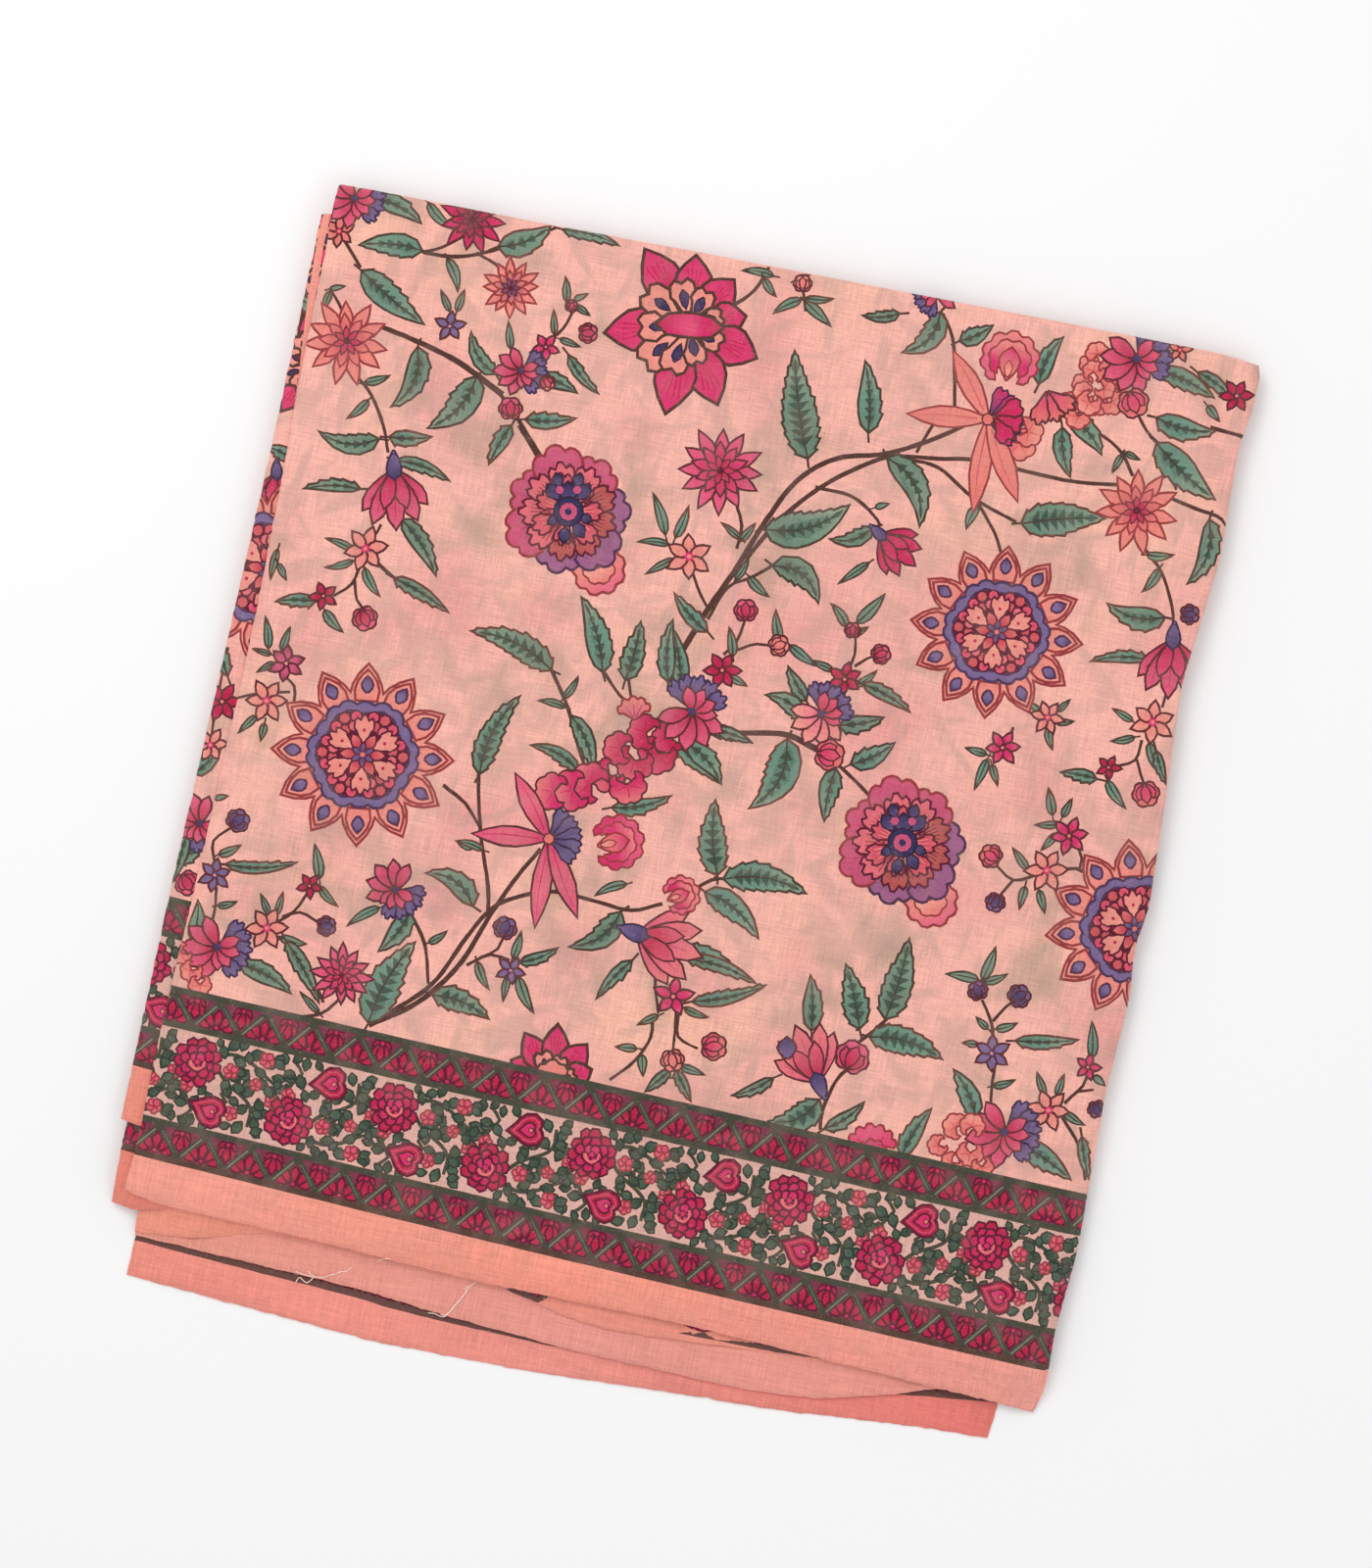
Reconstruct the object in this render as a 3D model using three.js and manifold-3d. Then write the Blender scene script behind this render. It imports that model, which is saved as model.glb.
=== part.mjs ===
// A printed cotton saree, folded in half along its length, then over and over
// across it, and laid flat. Millimetres, +Z up, +X along the border, +Y from
// the selvedges to the long fold, origin under the middle of the pile.
//
// Each stretch of cloth that shows is one thin wall. They lie on each other in
// the order base, (hidden layers), third, second, left under, left over, top.
import * as THREE from "three";
import { mergeVertices } from "three/addons/utils/BufferGeometryUtils.js";
import Module from "manifold-3d";

const wasm = await Module();
wasm.setup();

// ---- sizes -----------------------------------------------------------------
const WALL = 1.0; // a stretch of cloth with the air under its weave
const BASE_WALL = 1.2; // the lowest stretch
const GAP = 0.3; // between stretches that lie on each other
const HIDDEN_HEIGHT = 5.4; // the packed hidden layers
const HIDDEN_LAYERS = 4; // rounded folds that show at their edge
const FOLD_BULGE = 1.6; // how far each rounded fold stands out
const CLOSE = 13; // a stretch stays fully raised this far past what is under it
const SETTLE = 16; // and comes down over this distance
const FLOOR_GAP = 0.1; // where a stretch hangs past the base
const EDGE_FOLD = { reach: 4.2, drop: 5.2, steps: 5 }; // rounded long fold and right fold of the top
const ROOT = 2; // how far the fold starts inside the flat of the stretch

// ---- outlines, one row for each section -------------------------------------
// sides: x of the left and right edge at y.  ends: y of the near and far edge at x.
const OUTLINES = {
  base: {
    sides: [
      { y: -290, left: -238.5, right: 232.5 },
      { y: -262, left: -237.5, right: 235 },
      { y: 0, left: -240, right: 243 },
      { y: 270, left: -243, right: 243 },
    ],
    ends: [
      { x: -238.5, near: -300.5, far: 287 },
      { x: -190, near: -303, far: 288 },
      { x: -100, near: -307.5, far: 290 },
      { x: -15, near: -305.5, far: 292 },
      { x: 60, near: -300.5, far: 294 },
      { x: 115, near: -298, far: 296 },
      { x: 194, near: -290.5, far: 297 },
      { x: 232.5, near: -288.5, far: 297 },
    ],
  },
  third: {
    sides: [
      { y: -272, left: -238.5, right: 238 },
      { y: 0, left: -240, right: 238 },
      { y: 270, left: -243, right: 238 },
    ],
    ends: [
      { x: -238.5, near: -278.5, far: 286 },
      { x: -112, near: -281.5, far: 288 },
      { x: -67, near: -285.5, far: 289 },
      { x: 5, near: -289.5, far: 290 },
      { x: 97, near: -290.5, far: 292 },
      { x: 137, near: -287.5, far: 293 },
      { x: 177, near: -276.5, far: 294 },
      { x: 202, near: -267.5, far: 294 },
      { x: 238, near: -257, far: 294 },
    ],
  },
  second: {
    sides: [
      { y: -272, left: -239, right: 239 },
      { y: 0, left: -241, right: 239 },
      { y: 270, left: -244, right: 239 },
    ],
    ends: [
      { x: -239, near: -276.5, far: 287 },
      { x: -207, near: -273.5, far: 288 },
      { x: -164, near: -260.5, far: 288 },
      { x: -130, near: -256, far: 289 },
      { x: -35, near: -256, far: 291 },
      { x: -8, near: -270.5, far: 292 },
      { x: 20, near: -274.5, far: 292 },
      { x: 63, near: -271.5, far: 293 },
      { x: 150, near: -264.5, far: 295 },
      { x: 200, near: -255, far: 296 },
      { x: 239, near: -252, far: 296 },
    ],
  },
  left_under: {
    sides: [
      { y: -262, left: -254.5, right: 240 },
      { y: -222, left: -255, right: 240 },
      { y: 0, left: -250, right: 240 },
      { y: 250, left: -250, right: 240 },
    ],
    ends: [
      { x: -254.5, near: -263.5, far: 276 },
      { x: -241, near: -265.5, far: 284 },
      { x: -200, near: -254, far: 288 },
      { x: 0, near: -252, far: 293 },
      { x: 240, near: -250, far: 297 },
    ],
  },
  left_over: {
    sides: [
      { y: -216, left: -258.5, right: 240.5 },
      { y: -95, left: -258.5, right: 240.5 },
      { y: 30, left: -257, right: 240.5 },
      { y: 150, left: -255.5, right: 240.5 },
      { y: 277, left: -255.5, right: 240.5 },
    ],
    ends: [
      { x: -258.5, near: -218.5, far: 278.5 },
      { x: -243, near: -220.5, far: 281 },
      { x: 0, near: -224, far: 293 },
      { x: 240.5, near: -228, far: 297.5 },
    ],
  },
  top: {
    sides: [
      { y: -256, left: -248.5, right: 257.5 },
      { y: -225, left: -246.5, right: 255.5 },
      { y: -180, left: -247.5, right: 258.5 },
      { y: -95, left: -245.5, right: 255 },
      { y: -40, left: -245, right: 257 },
      { y: -14, left: -245, right: 253.5 },
      { y: 8, left: -244.5, right: 257 },
      { y: 60, left: -244.5, right: 253.5 },
      { y: 130, left: -246, right: 248.5 },
      { y: 200, left: -248.5, right: 254.5 },
      { y: 260, left: -249, right: 251.5 },
      { y: 288, left: -250.5, right: 255.5 },
    ],
    ends: [
      { x: -248.5, near: -253.5, far: 296.5 },
      { x: -239, near: -259.5, far: 297 },
      { x: -137, near: -260.5, far: 299 },
      { x: -55, near: -263.5, far: 301.5 },
      { x: 62, near: -262.5, far: 304 },
      { x: 146, near: -265.5, far: 306 },
      { x: 232, near: -268.5, far: 307.5 },
      { x: 254, near: -269.5, far: 305.5 },
    ],
  },
};

// The outline as one loop, seen from above, anticlockwise.
function loopOf({ sides, ends }) {
  const first = ends[0];
  const last = ends[ends.length - 1];
  const near = ends.map((r) => [r.x, r.near]);
  const far = ends.map((r) => [r.x, r.far]).reverse();
  const right = sides
    .filter((r) => r.y > last.near + 1 && r.y < last.far - 1)
    .map((r) => [r.right, r.y]);
  const left = sides
    .filter((r) => r.y > first.near + 1 && r.y < first.far - 1)
    .map((r) => [r.left, r.y])
    .reverse();
  return [...near, ...right, ...far, ...left];
}

function outsideDistance(loop, x, y) {
  let inside = false;
  let best = Infinity;
  for (let i = 0; i < loop.length; i++) {
    const [ax, ay] = loop[i];
    const [bx, by] = loop[(i + 1) % loop.length];
    if (ay > y !== by > y && x < ((bx - ax) * (y - ay)) / (by - ay) + ax)
      inside = !inside;
    const lx = bx - ax;
    const ly = by - ay;
    const t = Math.min(
      1,
      Math.max(0, ((x - ax) * lx + (y - ay) * ly) / (lx * lx + ly * ly)),
    );
    best = Math.min(best, Math.hypot(x - ax - t * lx, y - ay - t * ly));
  }
  return inside ? 0 : best;
}

// 1 over a stretch and just past its edge, coming down smoothly to 0.
function cover(loop, x, y) {
  const t = Math.min(
    1,
    Math.max(0, (outsideDistance(loop, x, y) - CLOSE) / SETTLE),
  );
  return 1 - t * t * (3 - 2 * t);
}

// ---- the pile's heights -----------------------------------------------------
const LOOPS = Object.fromEntries(
  Object.entries(OUTLINES).map(([name, rows]) => [name, loopOf(rows)]),
);
const HIDDEN = {
  left: -247,
  right: 246,
  near: -243,
  farLeft: 290,
  farRight: 300,
  corner: 12,
};
const HIDDEN_LOOP = [
  [HIDDEN.left, HIDDEN.near],
  [HIDDEN.right, HIDDEN.near],
  [HIDDEN.right, HIDDEN.farRight],
  [HIDDEN.left, HIDDEN.farLeft],
];
const ORDER = ["third", "second", "left_under", "left_over", "top"];

// The underside of stretch number k of ORDER.
function underside(k, x, y) {
  let z = FLOOR_GAP + (BASE_WALL + GAP - FLOOR_GAP) * cover(LOOPS.base, x, y);
  z += (HIDDEN_HEIGHT + GAP) * cover(HIDDEN_LOOP, x, y);
  for (const lower of ORDER.slice(0, k))
    z += (WALL + GAP) * cover(LOOPS[lower], x, y);
  return z;
}

// Every stretch bends along the same lines, so none cuts into its neighbour.
const BEND_X = [
  -272, -262, -252, -243, -232, -212, -175, -90, 0, 90, 175, 216, 234, 243, 252,
  262, 272,
];
const BEND_Y = [
  -318, -304, -294, -284, -274, -264, -252, -238, -205, -130, -30, 70, 170, 245,
  276, 290, 300, 312,
];

function solidOf(geometry) {
  geometry.deleteAttribute("normal");
  geometry.deleteAttribute("uv");
  const merged = mergeVertices(geometry, 1e-4);
  return new wasm.Manifold(
    new wasm.Mesh({
      numProp: 3,
      vertProperties: new Float32Array(merged.attributes.position.array),
      triVerts: new Uint32Array(merged.index.array),
    }),
  );
}

function geometryOf(solid) {
  const m = solid.getMesh();
  const g = new THREE.BufferGeometry();
  g.setAttribute("position", new THREE.BufferAttribute(m.vertProperties, 3));
  g.setIndex(new THREE.BufferAttribute(m.triVerts, 1));
  return g;
}

function prism(loop, low, high) {
  const shape = new THREE.Shape(loop.map(([x, y]) => new THREE.Vector2(x, y)));
  const g = new THREE.ExtrudeGeometry(shape, {
    depth: high - low,
    bevelEnabled: false,
    steps: 1,
  });
  g.translate(0, 0, low);
  return solidOf(g);
}

// A closed skin from a rectangular table of rings, each ring a list of points.
function skinOf(points, triangles) {
  const g = new THREE.BufferGeometry();
  g.setAttribute("position", new THREE.Float32BufferAttribute(points.flat(), 3));
  g.setIndex(triangles.flat());
  return g;
}

// The whole bent slab of stretch k, before it is cut to its outline.
function slab(k) {
  const nx = BEND_X.length;
  const ny = BEND_Y.length;
  const points = [];
  for (const lift of [0, WALL])
    for (const y of BEND_Y)
      for (const x of BEND_X) points.push([x, y, underside(k, x, y) + lift]);
  const at = (side, j, i) => side * nx * ny + j * nx + i;
  const triangles = [];
  for (let j = 0; j + 1 < ny; j++)
    for (let i = 0; i + 1 < nx; i++) {
      triangles.push([at(1, j, i), at(1, j, i + 1), at(1, j + 1, i + 1)]);
      triangles.push([at(1, j, i), at(1, j + 1, i + 1), at(1, j + 1, i)]);
      triangles.push([at(0, j, i), at(0, j + 1, i + 1), at(0, j, i + 1)]);
      triangles.push([at(0, j, i), at(0, j + 1, i), at(0, j + 1, i + 1)]);
    }
  const rim = [];
  for (let i = 0; i < nx; i++) rim.push([0, i]);
  for (let j = 1; j < ny; j++) rim.push([j, nx - 1]);
  for (let i = nx - 2; i >= 0; i--) rim.push([ny - 1, i]);
  for (let j = ny - 2; j > 0; j--) rim.push([j, 0]);
  rim.forEach(([j, i], n) => {
    const [j2, i2] = rim[(n + 1) % rim.length];
    triangles.push([at(0, j, i), at(0, j2, i2), at(1, j2, i2)]);
    triangles.push([at(0, j, i), at(1, j2, i2), at(1, j, i)]);
  });
  return solidOf(skinOf(points, triangles));
}

// The top's outline drawn in on its right and far edges, where the fold begins.
function insideFold(loop) {
  return loop.map(([x, y]) => [
    x > 240 ? x - EDGE_FOLD.reach : x,
    y > 280 ? y - EDGE_FOLD.reach : y,
  ]);
}

// The rounded fold of the top stretch along its right and far edges.
function edgeFold(k) {
  const { sides, ends } = OUTLINES.top;
  const path = [
    ...sides.filter((r) => r.y > -262).map((r) => [r.right, r.y]),
    ...ends.map((r) => [r.x, r.far]).reverse(),
  ];
  const section = [{ out: -EDGE_FOLD.reach - ROOT, down: 0, tilt: 0, wall: WALL / 2 }];
  for (let s = 0; s <= EDGE_FOLD.steps; s++) {
    const tilt = (s / EDGE_FOLD.steps) * Math.PI * 0.62;
    section.push({
      out: EDGE_FOLD.reach * (Math.sin(tilt) - 1),
      down: (EDGE_FOLD.drop * (1 - Math.cos(tilt))) / 1.37,
      tilt,
      wall: WALL,
    });
  }
  const points = [];
  path.forEach(([x, y], n) => {
    const [ax, ay] = path[Math.max(0, n - 1)];
    const [bx, by] = path[Math.min(path.length - 1, n + 1)];
    const l = Math.hypot(bx - ax, by - ay);
    const out = [(by - ay) / l, -(bx - ax) / l];
    const z =
      underside(k, x - out[0] * EDGE_FOLD.reach, y - out[1] * EDGE_FOLD.reach) +
      WALL / 2;
    const side = (p, way) => [
      x + out[0] * (p.out + ((way - 1) / 2) * p.wall * Math.sin(p.tilt)),
      y + out[1] * (p.out + ((way - 1) / 2) * p.wall * Math.sin(p.tilt)),
      z - p.down + (way * p.wall * Math.cos(p.tilt)) / 2,
    ];
    points.push([
      ...section.map((p) => side(p, 1)),
      ...section.map((p) => side(p, -1)).reverse(),
    ]);
  });
  const m = points[0].length;
  const triangles = [];
  for (let n = 0; n + 1 < points.length; n++)
    for (let i = 0; i < m; i++) {
      const i2 = (i + 1) % m;
      triangles.push([n * m + i, n * m + i2, (n + 1) * m + i2]);
      triangles.push([n * m + i, (n + 1) * m + i2, (n + 1) * m + i]);
    }
  const half = m / 2;
  const last = (points.length - 1) * m;
  for (let s = 0; s + 1 < half; s++) {
    const [a, b, c, d] = [s, s + 1, m - 2 - s, m - 1 - s];
    triangles.push([a, c, b], [a, d, c]);
    triangles.push([last + a, last + b, last + c], [last + a, last + c, last + d]);
  }
  let solid = solidOf(skinOf(points.flat(), triangles));
  if (solid.volume() < 0)
    solid = solidOf(
      skinOf(
        points.flat(),
        triangles.map(([a, b, c]) => [a, c, b]),
      ),
    );
  return solid;
}

// The hidden layers: one solid whose edge shows the rounded folds.
function hiddenLayers() {
  const { left, right, near, farLeft, farRight, corner } = HIDDEN;
  const ring = [];
  const corners = [
    { x: right - corner, y: near + corner, from: -90 },
    { x: right - corner, y: farRight - corner, from: 0 },
    { x: left + corner, y: farLeft - corner, from: 90 },
    { x: left + corner, y: near + corner, from: 180 },
  ];
  for (const c of corners)
    for (const turn of [0, 22.5, 45, 67.5, 90]) {
      const a = ((c.from + turn) * Math.PI) / 180;
      ring.push({ x: c.x, y: c.y, nx: Math.cos(a), ny: Math.sin(a) });
    }
  const low = BASE_WALL + GAP;
  const each = HIDDEN_HEIGHT / HIDDEN_LAYERS;
  const rings = [];
  for (let n = 0; n < HIDDEN_LAYERS; n++)
    for (const [up, bulge] of [
      [0, 0],
      [0.5, 1],
    ])
      rings.push({ z: low + (n + up) * each, out: corner - FOLD_BULGE * (1 - bulge) });
  rings.push({ z: low + HIDDEN_HEIGHT, out: corner - FOLD_BULGE });
  const points = rings.flatMap((r) =>
    ring.map((p) => [p.x + p.nx * r.out, p.y + p.ny * r.out, r.z]),
  );
  const m = ring.length;
  const triangles = [];
  for (let n = 0; n + 1 < rings.length; n++)
    for (let i = 0; i < m; i++) {
      const i2 = (i + 1) % m;
      triangles.push([n * m + i, n * m + i2, (n + 1) * m + i2]);
      triangles.push([n * m + i, (n + 1) * m + i2, (n + 1) * m + i]);
    }
  const lid = (rings.length - 1) * m;
  for (let i = 1; i + 1 < m; i++) {
    triangles.push([0, i + 1, i]);
    triangles.push([lid, lid + i, lid + i + 1]);
  }
  return solidOf(skinOf(points, triangles));
}

// ---- the pieces -------------------------------------------------------------
const cloth = (name, color) =>
  new THREE.MeshStandardMaterial({ name, color, roughness: 0.9, metalness: 0 });
const PRINTED = cloth("printed_peach_cotton", 0xdba08e);
const SELVEDGE = cloth("plain_peach_selvedge", 0xe8907c);

const saree = new THREE.Group();
saree.name = "folded_saree";
function add(name, solid, material) {
  const mesh = new THREE.Mesh(geometryOf(solid), material);
  mesh.name = name;
  saree.add(mesh);
}

add("base_stretch", prism(LOOPS.base, 0, BASE_WALL), SELVEDGE);
add("hidden_layers", hiddenLayers(), PRINTED);
const NODE = {
  third: ["third_stretch", SELVEDGE],
  second: ["second_stretch", SELVEDGE],
  left_under: ["left_under_stretch", PRINTED],
  left_over: ["left_over_stretch", PRINTED],
  top: ["top_stretch", PRINTED],
};
ORDER.forEach((name, k) => {
  const cut = name === "top" ? insideFold(LOOPS.top) : LOOPS[name];
  let solid = slab(k).intersect(prism(cut, -5, 40));
  if (name === "top") solid = solid.add(edgeFold(k));
  add(NODE[name][0], solid, NODE[name][1]);
});

export default saree;
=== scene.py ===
import math
import random

import bpy
import numpy as np
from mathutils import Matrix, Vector
from mathutils.geometry import delaunay_2d_cdt


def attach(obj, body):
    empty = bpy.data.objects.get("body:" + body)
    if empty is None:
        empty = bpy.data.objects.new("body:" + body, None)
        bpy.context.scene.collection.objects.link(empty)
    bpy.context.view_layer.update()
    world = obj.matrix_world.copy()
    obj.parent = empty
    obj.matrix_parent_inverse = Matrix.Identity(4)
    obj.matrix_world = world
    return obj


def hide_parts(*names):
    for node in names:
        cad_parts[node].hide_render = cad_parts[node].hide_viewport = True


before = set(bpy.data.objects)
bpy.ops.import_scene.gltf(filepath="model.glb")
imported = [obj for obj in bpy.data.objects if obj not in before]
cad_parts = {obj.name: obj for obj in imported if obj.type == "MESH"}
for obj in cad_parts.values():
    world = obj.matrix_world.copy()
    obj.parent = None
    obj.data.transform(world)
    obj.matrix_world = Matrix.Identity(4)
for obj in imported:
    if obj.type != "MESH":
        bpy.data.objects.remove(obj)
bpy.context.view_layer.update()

MM = 0.001

# ---------------------------------------------------------------------------
# Camera: straight above the cloth, turned by 12.2 degrees about the vertical
# ---------------------------------------------------------------------------
TURN = math.radians(12.2)
CLOTH_TOP = 13.0
DISTANCE = 2500.0
VIEW_HEIGHT = 840.0  # of the picture, at the cloth

camera_data = bpy.data.cameras.new("camera")
camera_data.sensor_fit = "AUTO"
camera_data.sensor_width = 36.0
camera_data.lens = 36.0 * DISTANCE / VIEW_HEIGHT
camera_data.clip_end = 20.0
camera = bpy.data.objects.new("camera", camera_data)
camera.location = (-0.16 * MM, 21.2 * MM, (CLOTH_TOP + DISTANCE) * MM)
camera.rotation_euler = (0.0, 0.0, TURN)
bpy.context.scene.collection.objects.link(camera)
bpy.context.scene.camera = camera


# ---------------------------------------------------------------------------
# Colours
# ---------------------------------------------------------------------------
def ink(r, g, b):
    """sRGB 0-255 to linear."""
    out = []
    for c in (r, g, b):
        c /= 255.0
        out.append(c / 12.92 if c <= 0.04045 else ((c + 0.055) / 1.055) ** 2.4)
    return tuple(out)


def mix(a, b, t):
    return tuple(p + (q - p) * t for p, q in zip(a, b))


LINE = ink(92, 38, 42)
BARK = ink(80, 50, 42)
LEAF_LINE = ink(70, 58, 46)
LEAF_LINE_2 = ink(104, 66, 54)
TEAL = ink(107, 145, 127)
SAGE = ink(158, 166, 144)
MOSS = ink(128, 134, 110)
PINE = ink(58, 74, 62)
CRIMSON = ink(186, 27, 70)
MAGENTA = ink(214, 44, 104)
PINK = ink(228, 96, 128)
ROSE = ink(229, 119, 113)
PEACH = ink(234, 138, 127)
SHELL = ink(243, 163, 145)
VIOLET = ink(122, 100, 144)
INDIGO = ink(70, 54, 98)
MAUVE = ink(202, 84, 119)
BRICK = ink(150, 54, 58)
PLUM = ink(128, 44, 78)
CLARET = ink(92, 18, 44)
DEEP_GREEN = ink(56, 74, 58)
VINE = ink(64, 68, 52)
BAND_GREEN = ink(68, 69, 56)
BAND_GREY = ink(92, 104, 84)
BAND_BROWN = ink(84, 60, 50)


# ---------------------------------------------------------------------------
# The print: flat polygons laid over each other, the last one on top
# ---------------------------------------------------------------------------
def board(p):
    """The layout is drawn on a board of 1400 by 1600 squares of 0.525 mm, y
    down, which lies over the cloth turned by 12.2 degrees."""
    dx, dy = p[:, 0] - 700.0, p[:, 1] - 815.0
    c, s = math.cos(TURN), math.sin(TURN)
    return np.column_stack(((dx * c + dy * s) * 0.525 + 1.5, (dx * s - dy * c) * 0.525 + 13.5))


def signed_area(p):
    x, y = p[:, 0], p[:, 1]
    return 0.5 * float(np.sum(x * np.roll(y, -1) - np.roll(x, -1) * y))


def offset(points, d):
    """A closed outline moved outwards by d, inwards where d is negative."""
    p = np.asarray(points, float)
    e1 = p - np.roll(p, 1, 0)
    e2 = np.roll(p, -1, 0) - p
    e1 /= np.maximum(np.linalg.norm(e1, axis=1, keepdims=True), 1e-9)
    e2 /= np.maximum(np.linalg.norm(e2, axis=1, keepdims=True), 1e-9)
    n = np.column_stack((e1[:, 1] + e2[:, 1], -e1[:, 0] - e2[:, 0]))
    length = np.maximum(np.linalg.norm(n, axis=1, keepdims=True), 1e-9)
    n = n / length / np.maximum(length / 2.0, 0.55)
    return p + n * (d if signed_area(p) > 0 else -d)


def curve(points, step=6.0, closed=False):
    """A smooth line through the points."""
    p = [np.asarray(q, float) for q in points]
    if len(p) < 3 and not closed:
        return np.array(p)
    if closed:
        p = [p[-1]] + p + [p[0], p[1]]
    else:
        p = [2 * p[0] - p[1]] + p + [2 * p[-1] - p[-2]]
    out = []
    for i in range(1, len(p) - 2):
        a, b, c, d = p[i - 1], p[i], p[i + 1], p[i + 2]
        n = max(1, int(np.linalg.norm(c - b) / step))
        for k in range(n):
            t = k / n
            out.append(
                0.5 * (2 * b + (c - a) * t + (2 * a - 5 * b + 4 * c - d) * t * t + (3 * b - a - 3 * c + d) * t**3)
            )
    if not closed:
        out.append(p[-2])
    return np.array(out)


class Print:
    """Painted polygons. Each has a colour that runs through three stops,
    along a line (way 1) or outwards from a point (way 2)."""

    def __init__(self, seed, at=None, rough=0.16):
        self.shapes = []
        self.rng = random.Random(seed)
        self.at = at or (lambda p: p)
        self.rough = rough

    def add(self, points, c0, c1=None, c2=None, a=None, b=None, way=0):
        p = np.asarray(points, float)
        if len(p) < 3:
            return
        q = self.at(p)
        if self.rough:
            q = q + np.array([[self.rng.gauss(0, 0.5), self.rng.gauss(0, 0.5)] for _ in q]) * self.rough
        if way:
            ends = self.at(np.array([a, b], float))
        else:
            ends = np.array([[0.0, 0.0], [1.0, 0.0]])
        c1 = c0 if c1 is None else c1
        c2 = c1 if c2 is None else c2
        self.shapes.append((q, (way, *ends[0], *ends[1]), (c0, c1, c2)))

    def shape(self, points, c0, c1=None, c2=None, a=None, b=None, way=0, line=2.0, edge=LINE):
        if line:
            self.add(offset(points, line * 0.62), edge)
            points = offset(points, -line * 0.62)
        self.add(points, c0, c1, c2, a, b, way)

    def stroke(self, points, w0, w1, colour, step=7.0, c1=None):
        p = curve(points, step)
        d = np.gradient(p, axis=0)
        d /= np.maximum(np.linalg.norm(d, axis=1, keepdims=True), 1e-9)
        n = np.column_stack((-d[:, 1], d[:, 0]))
        w = np.linspace(w0, w1, len(p))[:, None] * 0.5
        self.add(np.vstack((p + n * w, (p - n * w)[::-1])), colour, c1, None, tuple(p[0]), tuple(p[-1]), 1 if c1 else 0)


def fan(cx, cy, angle, radii):
    """Points at (degrees from angle, radius) about a centre."""
    return [
        (cx + r * math.cos(math.radians(angle + d)), cy + r * math.sin(math.radians(angle + d))) for d, r in radii
    ]


# ---- leaves ----------------------------------------------------------------
def leaf(pr, x0, y0, x1, y1, wide, bend=0.0, kind=1):
    """kind 0 small and smooth, 1 toothed, 2 toothed and feathered right out."""
    a, b = np.array([x0, y0], float), np.array([x1, y1], float)
    d = b - a
    length = float(np.linalg.norm(d))
    side = np.array([-d[1], d[0]]) / length
    c = (a + b) / 2 + side * bend * length * 1.25
    wide = wide * 1.08 + 1.0
    n = 5 if kind == 0 else max(4, int(length / 11))
    smooth_way = pr.rng.choice((-1, 1)) if kind == 1 else 0

    def mid(t):
        return (1 - t) ** 2 * a + 2 * t * (1 - t) * c + t * t * b

    def across(t):
        g = 2 * (1 - t) * (c - a) + 2 * t * (b - c)
        g /= max(np.linalg.norm(g), 1e-9)
        return np.array([-g[1], g[0]])

    def half(t):
        return wide * 0.5 * (max(t, 0.0) ** 0.6) * (max(1 - t, 0.0) ** 1.12) / 0.47

    left, right = [], []
    for i in range(1, n + 1):
        t = (i - 0.35) / (n + 0.2)
        for way, out in ((1, left), (-1, right)):
            if kind == 0:
                out.append(mid(t) + across(t) * way * half(t))
            elif way == smooth_way:
                out.append(mid(t) + across(t) * way * half(t) * pr.rng.uniform(0.97, 1.04))
            else:
                point = pr.rng.uniform(0.5, 2.2)
                out.append(mid(t) + across(t) * way * (half(t) + point))
                t2 = t + 0.16 / n
                out.append(mid(t2) + across(t2) * way * half(t2) * pr.rng.uniform(0.88, 0.98))
    points = [mid(0.0)] + left + [mid(1.0)] + right[::-1]
    pale = pr.rng.random()
    base = mix(TEAL, MOSS, 0.5 * pr.rng.random())
    far = mix(base, SAGE, 0.35 + 0.6 * pale)
    edge = LEAF_LINE if pr.rng.random() < 0.6 else LEAF_LINE_2
    u = d / length
    pr.stroke([a - u * (10 if kind else 6), a + u * 3], 2.6 if kind else 2.0, 2.2 if kind else 1.6, BARK)
    pr.add(offset(points, 1.25 if kind else 1.0), edge)
    pr.add(offset(points, -1.25 if kind else -1.0), mix(base, PINE, 0.2), base, far, tuple(a), tuple(b), 1)
    if kind:
        # the shaded half, its edge uneven
        way = 1 if pr.rng.random() < 0.5 else -1
        half_leaf = [mid(0.05)]
        for i in range(7):
            t = 0.12 + 0.11 * i
            half_leaf.append(mid(t) + across(t) * way * half(t) * (0.62 if i % 2 else 0.4))
        half_leaf.append(mid(0.9))
        pr.add(half_leaf, mix(base, PINE, 0.5), mix(base, PINE, 0.3), mix(far, PINE, 0.14), tuple(a), tuple(b), 1)
        reach = 0.45 if kind == 1 else 0.72
        barbs = max(3, int(length / 12))
        up, down = [], []
        for i in range(barbs):
            t = 0.1 + 0.72 * (i + 0.2) / barbs
            t2 = min(t + 0.34 / barbs + 0.05, 0.95)
            up += [mid(t) + across(t) * 0.6, mid(t2) + across(t2) * half(t2) * reach]
            down += [mid(t) - across(t) * 0.6, mid(t2) - across(t2) * half(t2) * reach]
        pr.add([mid(0.04)] + up + [mid(0.93)] + down[::-1], PINE, mix(PINE, TEAL, 0.15), mix(PINE, SAGE, 0.3), tuple(a), tuple(b), 1)
    if length > 16:
        pr.stroke([mid(0.0), mid(0.3), mid(0.6), mid(0.9)], 2.0, 0.9, LEAF_LINE, 12)


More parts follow.
